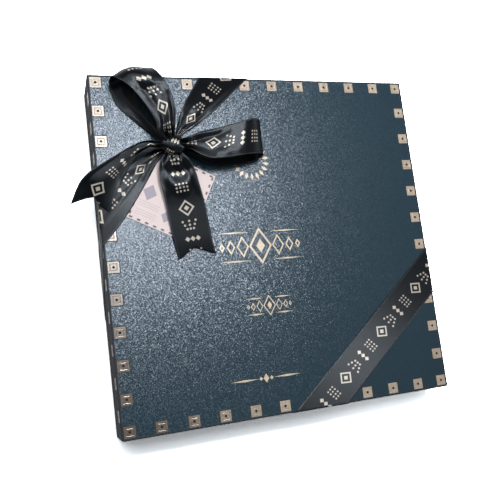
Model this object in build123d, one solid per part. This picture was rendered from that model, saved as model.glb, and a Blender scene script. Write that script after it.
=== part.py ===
from build123d import *

import math
import os

# Square gift box of filled chocolates, closed, lying on its base with the lid up.
# Origin at the centre of the box's underside. +Z is up, +Y is the lid's upper edge as it is
# read and +X its right-hand edge. All lengths are in millimetres.

# Box, outside
box_length = 228.0
box_width = 228.0
box_height = 32.0

# Board and papers
board_thickness = 1.6
wrap_thickness = 0.25
lining_thickness = 0.2
board_corner_radius = 0.5
lid_edge_radius = 0.3

# Lid on base
lid_clearance = 1.0
lid_rim_height = 1.6

# Tray of cells inside the base
cells_across = 5
cells_deep = 5
liner_thickness = 1.2
divider_thickness = 0.8
slot_clearance = 0.2
seat_clearance = 0.3
headroom = 1.4
pad_thickness = 3.0
pad_corner_radius = 4.0
leaflet_thickness = 0.3
leaflet_margin = 14.0

# Fluted paper cups
cup_wall = 0.3
cup_flare = 3.2
cup_clearance = 0.5
cup_height_share = 0.77
flute_count = 10
flute_share = 0.05

# Chocolates
praline_clearance = 0.3
ridge_width = 1.6
ridge_height = 0.8
nut_radius = 6.5

# Satin ribbon
ribbon_width = 25.0
ribbon_thickness = 0.35
ribbon_clearance = 0.15
ribbon_tab_height = 12.0
strip_steps = 3

# Band across the lower right corner of the lid
corner_band_reach = 98.0
corner_band_angle = 40.6

# Bow near the upper left corner, and the two bands that run from it to the lid's edges
bow_inset_x = 48.0
bow_inset_y = 49.0
bow_band_reach = 89.0
upper_band_angle = 47.0
left_band_angle = 54.6
knot_length = 15.0
knot_width = 12.0
knot_height = 13.0

# Gift card tucked under the bow
card_width = 42.6
card_length = 49.2
card_thickness = 0.4
card_angle = -27.5
card_tuck_x = 10.0
card_tuck_y = 0.1

# How far a cutting solid runs past what it cuts
overrun = 1.0

# Heights above the underside
base_floor_z = wrap_thickness + board_thickness + lining_thickness
lid_ceiling_z = box_height - wrap_thickness - board_thickness - lining_thickness
base_rim_z = lid_ceiling_z
tray_z = base_floor_z + liner_thickness
leaflet_z = lid_ceiling_z - headroom - leaflet_thickness
pad_z = leaflet_z - pad_thickness
divider_height = pad_z - tray_z

# Plan sizes
paper_and_board = wrap_thickness + board_thickness + lining_thickness
lid_inner_length = box_length - 2 * paper_and_board
lid_inner_width = box_width - 2 * paper_and_board
base_length = lid_inner_length - 2 * lid_clearance
base_width = lid_inner_width - 2 * lid_clearance
tray_length = base_length - 2 * paper_and_board
tray_width = base_width - 2 * paper_and_board
cell_length = tray_length / cells_across
cell_width = tray_width / cells_deep

# Cups and chocolates follow the smaller side of a cell
cup_height = divider_height * cup_height_share
cup_mouth_radius = (min(cell_length, cell_width) - divider_thickness) / 2 - cup_clearance
cup_base_radius = cup_mouth_radius - cup_flare
praline_radius = cup_base_radius * (1 - flute_share) - cup_wall - praline_clearance

# Places on the lid
knot_x = -box_length / 2 + bow_inset_x
knot_y = box_width / 2 - bow_inset_y
ribbon_lie = card_thickness + ribbon_clearance + ribbon_thickness / 2

# Heights of the chocolates, as shares of the cell's height
dome_height_share = 0.74
square_height_share = 0.7
baton_height_share = 0.7
rosette_height_share = 0.76
nut_cup_height_share = 0.5

# Rings of each turned chocolate: share of its radius, share of its height
dome_ring_shares = [(0.94, 0.0), (1.0, 0.14), (0.93, 0.46), (0.68, 0.8), (0.3, 0.97)]
rosette_ring_shares = [(0.86, 0.0), (1.0, 0.16), (0.84, 0.42), (0.56, 0.7), (0.12, 1.0)]
nut_cup_ring_shares = [(0.82, 0.0), (0.96, 0.5), (0.98, 0.9), (0.9, 1.0)]
nut_ring_shares = [(0.62, -0.2), (1.0, 0.25), (0.86, 0.68), (0.34, 0.96)]
dome_sides = 14
rosette_lobes = 7
rosette_lobe_share = 0.16
nut_sides = 10

# Plan of a square and of a baton-shaped chocolate, as shares of the praline radius
square_side_share = 1.46
square_draft_share = 0.9
square_corner_share = 0.16
baton_length_share = 1.78
baton_width_share = 1.16
baton_corner_share = 0.3
ridge_length_share = 0.7

# Knot: share of its half length along it, share of its half thickness there
knot_ring_shares = [(-1.0, 0.5), (-0.62, 0.88), (0.0, 1.0), (0.62, 0.88), (1.0, 0.5)]
knot_sides = 12

# Ribbon edges of the bow, from the knot outwards, as shares of the ribbon's width: x, y and
# height of one edge, then of the other, measured from the knot's centre and a lying strand
upper_loop_shares = [
    ((-0.18, 0.12, 0.34), (0.04, 0.13, 0.36)),
    ((-0.37, 0.24, 0.55), (0.06, 0.40, 0.57)),
    ((-0.43, 0.51, 0.65), (0.10, 0.79, 0.65)),
    ((-0.66, 0.92, 0.71), (0.04, 1.20, 0.71)),
    ((-1.00, 1.35, 0.67), (-0.12, 1.55, 0.67)),
    ((-1.30, 1.61, 0.53), (-0.31, 1.85, 0.55)),
    ((-1.37, 1.72, 0.33), (-0.38, 2.00, 0.33)),
    ((-1.40, 1.67, 0.11), (-0.40, 1.95, 0.11)),
    ((-1.36, 1.50, 0.02), (-0.40, 1.80, 0.02)),
    ((-1.25, 1.15, 0.0), (-0.38, 1.55, 0.0)),
    ((-0.97, 0.83, 0.0), (-0.29, 1.16, 0.02)),
    ((-0.60, 0.49, 0.04), (-0.18, 0.72, 0.05)),
    ((-0.22, 0.13, 0.14), (-0.06, 0.17, 0.14)),
]
right_loop_shares = [
    ((0.20, 0.08, 0.34), (0.20, -0.08, 0.34)),
    ((0.40, 0.13, 0.53), (0.41, -0.20, 0.53)),
    ((0.79, 0.26, 0.60), (0.64, -0.36, 0.60)),
    ((1.18, 0.32, 0.64), (0.92, -0.48, 0.64)),
    ((1.63, 0.43, 0.64), (1.36, -0.49, 0.64)),
    ((2.08, 0.55, 0.55), (1.92, -0.41, 0.55)),
    ((2.40, 0.62, 0.33), (2.38, -0.33, 0.33)),
    ((2.34, 0.60, 0.09), (2.30, -0.39, 0.09)),
    ((2.08, 0.53, 0.0), (2.04, -0.46, 0.0)),
    ((1.60, 0.42, 0.0), (1.56, -0.51, 0.0)),
    ((1.12, 0.30, 0.0), (1.10, -0.48, 0.0)),
    ((0.70, 0.16, 0.03), (0.66, -0.32, 0.03)),
    ((0.22, 0.07, 0.14), (0.22, -0.07, 0.14)),
]
lower_tail_shares = [
    ((-0.12, -0.13, 0.16), (0.12, -0.13, 0.16)),
    ((-0.27, -0.27, 0.27), (0.26, -0.25, 0.29)),
    ((-0.36, -0.47, 0.29), (0.39, -0.40, 0.31)),
    ((-0.39, -0.70, 0.19), (0.51, -0.60, 0.21)),
    ((-0.36, -0.93, 0.07), (0.59, -0.82, 0.09)),
    ((-0.31, -1.17, 0.01), (0.65, -1.02, 0.01)),
    ((-0.26, -1.58, 0.0), (0.72, -1.42, 0.0)),
    ((-0.22, -2.09, 0.0), (0.77, -1.95, 0.0)),
    ((-0.16, -2.54, 0.0), (0.82, -2.45, 0.0)),
    ((-0.10, -2.94, 0.0), (0.88, -2.85, 0.0)),
]
lower_tail_notch_share = (0.39, -2.67)
left_tail_shares = [
    ((-0.20, 0.06, 0.24), (-0.19, -0.07, 0.22)),
    ((-0.44, 0.06, 0.36), (-0.42, -0.14, 0.30)),
    ((-0.66, 0.05, 0.42), (-0.70, -0.14, 0.31)),
    ((-0.93, -0.04, 0.45), (-0.91, -0.27, 0.25)),
    ((-1.26, -0.20, 0.43), (-1.07, -0.46, 0.18)),
    ((-1.56, -0.36, 0.39), (-1.25, -0.72, 0.12)),
    ((-1.92, -0.56, 0.31), (-1.38, -0.97, 0.09)),
    ((-2.18, -0.73, 0.25), (-1.50, -1.17, 0.08)),
    ((-2.38, -0.95, 0.19), (-1.60, -1.38, 0.07)),
    ((-2.59, -1.39, 0.13), (-1.70, -1.62, 0.06)),
]
left_tail_notch_share = (-2.06, -1.38)

# Edges of the two bands, from the knot outwards: how far from the knot to where that edge
# crosses the lid's edge, along X and along Y, and height as a share of the knot's
upper_band_shares = [
    ((0.04, 0.09, 0.115), (0.07, 0.04, 0.115)),
    ((0.22, 0.25, 0.02), (0.16, 0.19, 0.02)),
    ((0.31, 0.39, 0.0), (0.35, 0.33, 0.0)),
    ((0.50, 0.60, 0.0), (0.60, 0.57, 0.0)),
]
left_band_shares = [
    ((0.10, 0.03, 0.115), (0.07, 0.05, 0.115)),
    ((0.25, 0.14, 0.0), (0.18, 0.13, 0.0)),
    ((0.56, 0.54, 0.0), (0.32, 0.30, 0.0)),
    ((0.81, 0.84, 0.0), (0.45, 0.46, 0.0)),
    ((0.94, 0.95, -0.015), (0.70, 0.73, 0.0)),
]


def block(length, width, radius, low, high):
    """An upright prism on the box's axis, with rounded corners, from one height to another."""
    return Pos(0, 0, low) * extrude(RectangleRounded(length, width, radius), high - low)


def plate(length, width, low, thickness):
    """A square-cornered sheet on the box's axis."""
    return Pos(0, 0, low + thickness / 2) * Box(length, width, thickness)


def ring(radius, sides, height, lobe_share=0.0):
    """The corners of a many-sided ring, every second one drawn in by a share of its radius."""
    corners = []
    for index in range(sides):
        reach = radius * (1 - lobe_share * (index % 2))
        turn = 2 * math.pi * index / sides
        corners.append((reach * math.cos(turn), reach * math.sin(turn), height))
    return corners


def faceted(rings, split=False):
    """A closed flat-faced body through rings of equally many corners, quads split if asked."""
    faces = [Face(Wire.make_polygon(end, close=True)) for end in (rings[0], rings[-1])]
    for low, high in zip(rings, rings[1:]):
        for index in range(len(low)):
            quad = [low[index - 1], low[index], high[index], high[index - 1]]
            outlines = [quad[:3], [quad[0], *quad[2:]]] if split else [quad]
            faces += [Face(Wire.make_polygon(outline, close=True)) for outline in outlines]
    return Solid(Shell(faces))


def turned(ring_shares, radius, height, sides, lobe_share=0.0):
    """A flat-sided turned body through rings given as shares of a radius and a height."""
    return faceted([ring(radius * r, sides, height * h, lobe_share) for r, h in ring_shares])


# Lid

def make_lid_board():
    inner_length = lid_inner_length + 2 * lining_thickness
    inner_width = lid_inner_width + 2 * lining_thickness
    low = lid_rim_height + wrap_thickness
    high = box_height - wrap_thickness
    outer = block(box_length - 2 * wrap_thickness, box_width - 2 * wrap_thickness,
                  board_corner_radius, low, high)
    return outer - block(inner_length, inner_width, board_corner_radius,
                         low - overrun, high - board_thickness)


def make_lid_wrap():
    board_length = box_length - 2 * wrap_thickness
    board_width = box_width - 2 * wrap_thickness
    outer = block(box_length, box_width, board_corner_radius + wrap_thickness,
                  lid_rim_height, box_height)
    outer = fillet(outer.edges().group_by(Axis.Z)[-1], lid_edge_radius)
    outer -= block(board_length, board_width, board_corner_radius,
                   lid_rim_height + wrap_thickness, box_height - wrap_thickness)
    return outer - block(board_length - 2 * board_thickness, board_width - 2 * board_thickness,
                         board_corner_radius, lid_rim_height - overrun,
                         lid_rim_height + overrun)


def make_lid_lining():
    outer = block(lid_inner_length + 2 * lining_thickness, lid_inner_width + 2 * lining_thickness,
                  board_corner_radius, lid_rim_height, lid_ceiling_z + lining_thickness)
    return outer - block(lid_inner_length, lid_inner_width, board_corner_radius,
                         lid_rim_height - overrun, lid_ceiling_z)


# Base

def make_base_board():
    outer = block(base_length - 2 * wrap_thickness, base_width - 2 * wrap_thickness,
                  board_corner_radius, wrap_thickness, base_rim_z - wrap_thickness)
    return outer - block(tray_length + 2 * lining_thickness, tray_width + 2 * lining_thickness,
                         board_corner_radius, wrap_thickness + board_thickness,
                         base_rim_z + overrun)


def make_base_wrap():
    outer = block(base_length, base_width, board_corner_radius + wrap_thickness,
                  wrap_thickness, base_rim_z)
    outer -= block(base_length - 2 * wrap_thickness, base_width - 2 * wrap_thickness,
                   board_corner_radius, wrap_thickness - overrun, base_rim_z - wrap_thickness)
    return outer - block(tray_length + 2 * lining_thickness, tray_width + 2 * lining_thickness,
                         board_corner_radius, base_rim_z - overrun, base_rim_z + overrun)


def make_base_bottom_paper():
    return block(base_length, base_width, board_corner_radius + wrap_thickness,
                 0, wrap_thickness)


def make_base_lining():
    outer = block(tray_length + 2 * lining_thickness, tray_width + 2 * lining_thickness,
                  board_corner_radius, wrap_thickness + board_thickness, base_rim_z)
    return outer - block(tray_length, tray_width, board_corner_radius,
                         base_floor_z, base_rim_z + overrun)


# Sheets in the tray

def make_bottom_liner():
    return plate(tray_length - 2 * seat_clearance, tray_width - 2 * seat_clearance,
                 base_floor_z, liner_thickness)


def make_cushion_pad():
    return block(tray_length - 2 * seat_clearance, tray_width - 2 * seat_clearance,
                 pad_corner_radius, pad_z, pad_z + pad_thickness)


def make_flavour_leaflet():
    return plate(tray_length - 2 * leaflet_margin, tray_width - 2 * leaflet_margin,
                 leaflet_z, leaflet_thickness)


# Half-lapped dividers: the strips along X are slotted from above, those along Y from below

def divider_places(span, count):
    """Middles of the strips that part a span into equal cells."""
    return [-span / 2 + span * index / count for index in range(1, count)]


def make_divider(length, crossings, slot_low, slot_high):
    strip = Pos(0, 0, tray_z + divider_height / 2) * Box(length, divider_thickness, divider_height)
    slot = Box(divider_thickness + slot_clearance, divider_thickness + 2 * overrun,
               slot_high - slot_low)
    for place in crossings:
        strip -= Pos(place, 0, (slot_low + slot_high) / 2) * slot
    return strip


def make_dividers():
    middle = tray_z + divider_height / 2
    places_x = divider_places(tray_length, cells_across)
    places_y = divider_places(tray_width, cells_deep)
    across = make_divider(tray_length - 2 * seat_clearance, places_x,
                          middle - slot_clearance / 2, tray_z + divider_height + overrun)
    along = make_divider(tray_width - 2 * seat_clearance, places_y,
                         tray_z - overrun, middle + slot_clearance / 2)
    strips = {}
    for index, place in enumerate(places_y, 1):
        strips[f"divider_across_{index}"] = Pos(0, place, 0) * across
    for index, place in enumerate(places_x, 1):
        strips[f"divider_along_{index}"] = Pos(place, 0, 0) * Rot(0, 0, 90) * along
    return strips


# Cups and chocolates

def cell_centres():
    centres = []
    for row in range(cells_deep):
        for column in range(cells_across):
            centres.append(((column + 0.5) * cell_length - tray_length / 2,
                            (row + 0.5) * cell_width - tray_width / 2))
    return centres


def make_cup():
    sides = 2 * flute_count
    slope = cup_flare / cup_height
    return faceted([
        ring(cup_base_radius, sides, 0, flute_share),
        ring(cup_mouth_radius, sides, cup_height, flute_share),
        ring(cup_mouth_radius - cup_wall, sides, cup_height, flute_share),
        ring(cup_base_radius - cup_wall + slope * cup_wall, sides, cup_wall, flute_share)])


def make_paper_cups():
    cup = make_cup()
    return Compound([Pos(x, y, tray_z) * cup for x, y in cell_centres()])


def make_dome_praline():
    return turned(dome_ring_shares, praline_radius, divider_height * dome_height_share, dome_sides)


def cut_rectangle(length, width, corner, height):
    """The eight corners of a rectangle with its corners cut off, counterclockwise."""
    x, y = length / 2, width / 2
    return [(x, corner - y, height), (x, y - corner, height),
            (x - corner, y, height), (corner - x, y, height),
            (-x, y - corner, height), (-x, corner - y, height),
            (corner - x, -y, height), (x - corner, -y, height)]


def tapered(length, width, corner, height, draft_share):
    """A moulded block, narrower at the top, with cut corners."""
    return faceted([cut_rectangle(length, width, corner, 0),
                    cut_rectangle(length * draft_share, width * draft_share,
                                  corner * draft_share, height)])


def make_square_praline():
    side = praline_radius * square_side_share
    height = divider_height * square_height_share
    body = tapered(side, side, praline_radius * square_corner_share, height, square_draft_share)
    ridge = Pos(0, 0, height) * Box(side * ridge_length_share, ridge_width, 2 * ridge_height)
    step = side * ridge_length_share / 4
    return body + Pos(0, -step, 0) * ridge + Pos(0, step, 0) * ridge


def make_baton_praline():
    height = divider_height * baton_height_share
    body = tapered(praline_radius * baton_length_share, praline_radius * baton_width_share,
                   praline_radius * baton_corner_share, height, square_draft_share)
    ridge = Box(praline_radius * baton_length_share * ridge_length_share, ridge_width,
                2 * ridge_height)
    return body + Pos(0, 0, height) * ridge


def make_rosette_praline():
    return turned(rosette_ring_shares, praline_radius, divider_height * rosette_height_share,
                  2 * rosette_lobes, rosette_lobe_share)


def make_nut_cup_praline():
    height = divider_height * nut_cup_height_share
    cup = turned(nut_cup_ring_shares, praline_radius, height, dome_sides)
    nut = turned(nut_ring_shares, nut_radius, nut_radius, nut_sides)
    return cup + Pos(0, 0, height) * nut


def make_pralines():
    kinds = [("dome", make_dome_praline()), ("square", make_square_praline()),
             ("baton", make_baton_praline()), ("rosette", make_rosette_praline()),
             ("nut_cup", make_nut_cup_praline())]
    pieces = {}
    for index, (x, y) in enumerate(cell_centres()):
        row, column = divmod(index, cells_across)
        name, solid = kinds[(column + 2 * row) % len(kinds)]
        pieces[f"praline_{row + 1}{column + 1}_{name}"] = Pos(x, y, tray_z + cup_wall) * solid
    return pieces


# Ribbon

def between(before, start, end, after, share):
    """A point on the smooth curve from start to end, a share of the way along it."""
    pull = (end - before) * 0.5
    push = (after - start) * 0.5
    gap = end - start
    return (start + pull * share + (gap * 3 - pull * 2 - push) * share ** 2
            + (pull + push - gap * 2) * share ** 3)


def smoothed(stations):
    """Pairs of edge points with further pairs between them, each edge on a smooth curve."""
    last = len(stations) - 1
    pairs = []
    for index in range(last):
        around = [stations[min(max(index + step, 0), last)] for step in (-1, 0, 1, 2)]
        for step in range(strip_steps):
            pairs.append([between(*edge, step / strip_steps) for edge in zip(*around)])
    return pairs + [stations[last]]


def strip_solid(stations):
    """A thin ribbon through pairs of edge points, with its thickness square to its run."""
    stations = smoothed(stations)
    middles = [(left + right) * 0.5 for left, right in stations]
    last = len(stations) - 1
    sections = []
    for index, (left, right) in enumerate(stations):
        run = middles[min(index + 1, last)] - middles[max(index - 1, 0)]
        lift = (right - left).cross(run).normalized() * (ribbon_thickness / 2)
        sections.append([left + lift, right + lift, right - lift, left - lift])
    return faceted(sections, split=True)


def bow_point(shares):
    """A point of the bow, from shares of the ribbon's width, measured from the knot."""
    return Vector(knot_x + shares[0] * ribbon_width, knot_y + shares[1] * ribbon_width,
                  box_height + ribbon_lie + shares[2] * ribbon_width)


def bow_stations(table):
    return [(bow_point(left), bow_point(right)) for left, right in table]


def wall_plane(direction):
    """The lid's outer wall that faces a direction: x along it, y up, origin at its top edge."""
    reach = {"right": (box_length / 2, 0, box_height), "upper": (0, box_width / 2, box_height),
             "left": (-box_length / 2, 0, box_height), "lower": (0, -box_width / 2, box_height)}
    outward = {"right": (1, 0, 0), "upper": (0, 1, 0), "left": (-1, 0, 0), "lower": (0, -1, 0)}
    along = {"right": (0, 1, 0), "upper": (-1, 0, 0), "left": (0, -1, 0), "lower": (1, 0, 0)}
    return Plane(reach[direction], x_dir=along[direction], z_dir=outward[direction])


def wall_turn(direction, start, end, slant):
    """A ribbon end folded down a lid wall, round its rim and up the inside face.

    start and end are where its two edges cross the lid's edge, along the wall, and slant is
    how far they move along the wall for each unit of height.
    """
    plane = wall_plane(direction)
    rim = lid_rim_height - box_height

    def slanted(top, bottom, depth_top, depth_bottom, inner, outer):
        outline = Polyline((start + slant * depth_top, top), (end + slant * depth_top, top),
                           (end + slant * depth_bottom, bottom),
                           (start + slant * depth_bottom, bottom), close=True)
        face = Pos(0, 0, inner) * make_face(outline)
        return plane * extrude(face, outer - inner)

    under = rim - ribbon_thickness
    outside = slanted(ribbon_thickness, under, -ribbon_thickness, -under, 0, ribbon_thickness)
    below = slanted(rim, under, -rim, -under, -paper_and_board - ribbon_thickness, 0)
    inside = slanted(rim + ribbon_tab_height, rim, -rim + ribbon_tab_height, -rim,
                     -paper_and_board - ribbon_thickness, -paper_and_board)
    return outside + below + inside


def crossing(reach, angle_to_edge):
    """Where a band's two edges cross the lid's edge, measured from the lid's corner."""
    half = ribbon_width / 2 / math.sin(math.radians(angle_to_edge))
    return reach - half, reach + half


def make_corner_band():
    reach_up = corner_band_reach * math.tan(math.radians(corner_band_angle))
    near, far = crossing(corner_band_reach, corner_band_angle)
    low, high = crossing(reach_up, 90 - corner_band_angle)
    right = box_length / 2
    lower = -box_width / 2
    outline = Polyline((right - far, lower), (right - near, lower), (right, lower + low),
                       (right, lower + high), close=True)
    flat = Pos(0, 0, box_height) * extrude(make_face(outline), ribbon_thickness)
    slope = math.tan(math.radians(corner_band_angle))
    return (flat + wall_turn("lower", right - far, right - near, -1 / slope)
            + wall_turn("right", lower + low, lower + high, slope))


def band_stations(table, crossings):
    """Edge pairs of a band from the knot to where its two edges cross the lid's edge."""
    stations = []
    for pair in table:
        stations.append([Vector(knot_x + x * (end.X - knot_x), knot_y + y * (end.Y - knot_y),
                                box_height + ribbon_lie + z * knot_height)
                         for (x, y, z), end in zip(pair, crossings)])
    return stations + [crossings]


def make_upper_band():
    near, far = crossing(bow_band_reach, upper_band_angle)
    level = box_height + ribbon_thickness / 2
    left = -box_length / 2
    ends = [Vector(left + near, box_width / 2, level), Vector(left + far, box_width / 2, level)]
    slope = math.tan(math.radians(upper_band_angle))
    return (strip_solid(band_stations(upper_band_shares, ends))
            + wall_turn("upper", -left - far, -left - near, -1 / slope))


def make_left_band():
    near, far = crossing(bow_band_reach, 90 - left_band_angle)
    level = box_height + ribbon_thickness / 2
    left = -box_length / 2
    upper = box_width / 2
    ends = [Vector(left, upper - near, level), Vector(left, upper - far, level)]
    slope = math.tan(math.radians(left_band_angle))
    return (strip_solid(band_stations(left_band_shares, ends))
            + wall_turn("left", near - upper, far - upper, slope))


def make_tail(table, notch_share):
    """A bow end, lofted along its run and cut to a swallowtail."""
    tips = [bow_point(point) for point in table[-1]]
    notch = bow_point((*notch_share, 0))
    beyond = (tips[0] + tips[1]) * 0.5 - notch
    beyond = Vector(beyond.X, beyond.Y, 0).normalized() * overrun
    outline = Polyline((tips[0].X, tips[0].Y), (notch.X, notch.Y), (tips[1].X, tips[1].Y),
                       (tips[1].X + beyond.X, tips[1].Y + beyond.Y),
                       (tips[0].X + beyond.X, tips[0].Y + beyond.Y), close=True)
    cutter = Pos(0, 0, box_height) * extrude(make_face(outline), ribbon_width)
    return strip_solid(bow_stations(table)) - cutter


def make_knot():
    rings = []
    middle = box_height + card_thickness + ribbon_clearance + knot_height / 2
    for along, share in knot_ring_shares:
        corners = []
        for index in range(knot_sides):
            turn = 2 * math.pi * (index + 0.5) / knot_sides
            corners.append((knot_x + along * knot_length / 2,
                            knot_y + share * knot_width / 2 * math.cos(turn),
                            middle + share * knot_height / 2 * math.sin(turn)))
        rings.append(corners)
    return faceted(rings)


def make_gift_card():
    card = Pos(card_width / 2, -card_length / 2, card_thickness / 2) * Box(
        card_width, card_length, card_thickness)
    return Pos(knot_x - card_tuck_x, knot_y - card_tuck_y, box_height) * Rot(0, 0, card_angle) * card


parts = {
    "base_bottom_paper": make_base_bottom_paper(),
    "base_board": make_base_board(),
    "base_wrap": make_base_wrap(),
    "base_lining": make_base_lining(),
    "bottom_liner": make_bottom_liner(),
    "paper_cups": make_paper_cups(),
    "cushion_pad": make_cushion_pad(),
    "flavour_leaflet": make_flavour_leaflet(),
    "lid_board": make_lid_board(),
    "lid_wrap": make_lid_wrap(),
    "lid_lining": make_lid_lining(),
    "ribbon_corner_band": make_corner_band(),
    "ribbon_upper_band": make_upper_band(),
    "ribbon_left_band": make_left_band(),
    "bow_knot": make_knot(),
    "bow_upper_loop": strip_solid(bow_stations(upper_loop_shares)),
    "bow_right_loop": strip_solid(bow_stations(right_loop_shares)),
    "bow_lower_tail": make_tail(lower_tail_shares, lower_tail_notch_share),
    "bow_left_tail": make_tail(left_tail_shares, left_tail_notch_share),
    "gift_card": make_gift_card(),
}
parts.update(make_dividers())
parts.update(make_pralines())

os.makedirs("parts", exist_ok=True)
for name, shape in parts.items():
    export_step(shape, f"parts/{name}.step")
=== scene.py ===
import logging
import math
from dataclasses import dataclass
from enum import Enum
from functools import reduce
from typing import Callable, Sequence

import bmesh
import bpy
from mathutils import Matrix, Vector


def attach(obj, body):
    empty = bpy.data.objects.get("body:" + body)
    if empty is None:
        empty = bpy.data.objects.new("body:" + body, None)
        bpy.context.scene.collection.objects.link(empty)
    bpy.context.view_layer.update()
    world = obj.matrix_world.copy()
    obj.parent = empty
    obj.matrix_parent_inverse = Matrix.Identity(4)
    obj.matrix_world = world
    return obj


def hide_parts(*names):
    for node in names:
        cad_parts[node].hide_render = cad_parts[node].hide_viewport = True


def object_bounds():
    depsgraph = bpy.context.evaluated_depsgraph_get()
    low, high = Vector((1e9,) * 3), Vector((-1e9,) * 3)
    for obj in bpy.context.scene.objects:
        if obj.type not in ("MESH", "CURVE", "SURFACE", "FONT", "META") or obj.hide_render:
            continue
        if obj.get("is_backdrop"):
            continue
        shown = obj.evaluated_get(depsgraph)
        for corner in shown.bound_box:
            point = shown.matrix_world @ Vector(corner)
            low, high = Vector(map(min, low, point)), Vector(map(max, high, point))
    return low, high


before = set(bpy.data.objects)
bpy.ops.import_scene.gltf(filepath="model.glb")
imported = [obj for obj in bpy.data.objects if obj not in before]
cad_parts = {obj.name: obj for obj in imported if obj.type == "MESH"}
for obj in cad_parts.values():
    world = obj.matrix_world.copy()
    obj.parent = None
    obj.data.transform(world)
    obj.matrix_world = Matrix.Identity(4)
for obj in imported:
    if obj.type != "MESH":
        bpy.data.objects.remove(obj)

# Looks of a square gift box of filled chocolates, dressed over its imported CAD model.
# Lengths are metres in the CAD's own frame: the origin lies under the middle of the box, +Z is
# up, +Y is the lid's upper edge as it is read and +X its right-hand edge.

MM = 0.001
LID_HALF, LID_TOP = 114 * MM, 32 * MM
RIBBON_WIDTH, RIBBON_THICKNESS = 25 * MM, 0.35 * MM
LOG = logging.getLogger("chocolate_box")
CAD_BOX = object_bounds()

Colour = tuple[float, float, float, float]
Pair = tuple[Vector, Vector]
PLAIN_WHITE: Colour = (1.0, 1.0, 1.0, 1.0)


def srgb(red: float, green: float, blue: float) -> Colour:
    """A linear colour from the 0 to 255 values that it shows on a screen.

    Args:
        red, green, blue: screen values from 0 to 255.

    Returns:
        The linear colour with an alpha of 1.
    """
    linear = [
        (value / 255 + 0.055) ** 2.4 / 1.055**2.4 if value > 10 else value / 255 / 12.92
        for value in (red, green, blue)
    ]
    return (*linear, 1.0)


def scaled(colour: Colour, factor: float) -> Colour:
    """A linear colour made lighter or darker by a factor."""
    return (*(part * factor for part in colour[:3]), 1.0)


# Shader building


class Signal:
    """A value that changes over a surface; arithmetic on it adds Math nodes to its tree."""

    def __init__(self, nodes: "Nodes", socket: bpy.types.NodeSocket) -> None:
        """Keeps the tree's builder and the output socket that carries the value."""
        self.nodes = nodes
        self.socket = socket

    def math(self, operation: str, *others: "Signal | float") -> "Signal":
        """The result of one Math node on this value and others."""
        return self.nodes.math(operation, self, *others)

    def __add__(self, other: "Signal | float") -> "Signal":
        """This value plus another."""
        return self.math("ADD", other)

    def __sub__(self, other: "Signal | float") -> "Signal":
        """This value less another."""
        return self.math("SUBTRACT", other)

    def __rsub__(self, other: float) -> "Signal":
        """A number less this value; one less a mask turns the mask round."""
        return self.nodes.math("SUBTRACT", other, self)

    def __mul__(self, other: "Signal | float") -> "Signal":
        """This value times another."""
        return self.math("MULTIPLY", other)

    def __rtruediv__(self, other: float) -> "Signal":
        """A number over this value."""
        return self.nodes.math("DIVIDE", other, self)

    def __abs__(self) -> "Signal":
        """This value without its sign."""
        return self.math("ABSOLUTE")

    def within(self, period: float) -> "Signal":
        """This value's remainder over a period, measured from the period's middle."""
        return self.math("FLOORED_MODULO", period) - period / 2

    def below(self, limit: float, softness: float) -> "Signal":
        """A mask of 1 under a limit, fading to 0 over a softness on both sides of it.

        Args:
            limit: where the mask changes.
            softness: half the width of the fade.

        Returns:
            The mask, from 0 to 1.
        """
        return self.nodes.ramp(self - limit, softness, -softness)


def largest(*values: Signal) -> Signal:
    """The largest of several values at each point."""
    return reduce(lambda one, two: one.math("MAXIMUM", two), values)


def smallest(*values: Signal) -> Signal:
    """The smallest of several values at each point."""
    return reduce(lambda one, two: one.math("MINIMUM", two), values)


def distance(x: Signal, y: Signal) -> Signal:
    """The distance of a point x and y away."""
    return (x * x + y * y).math("SQRT")


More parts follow.
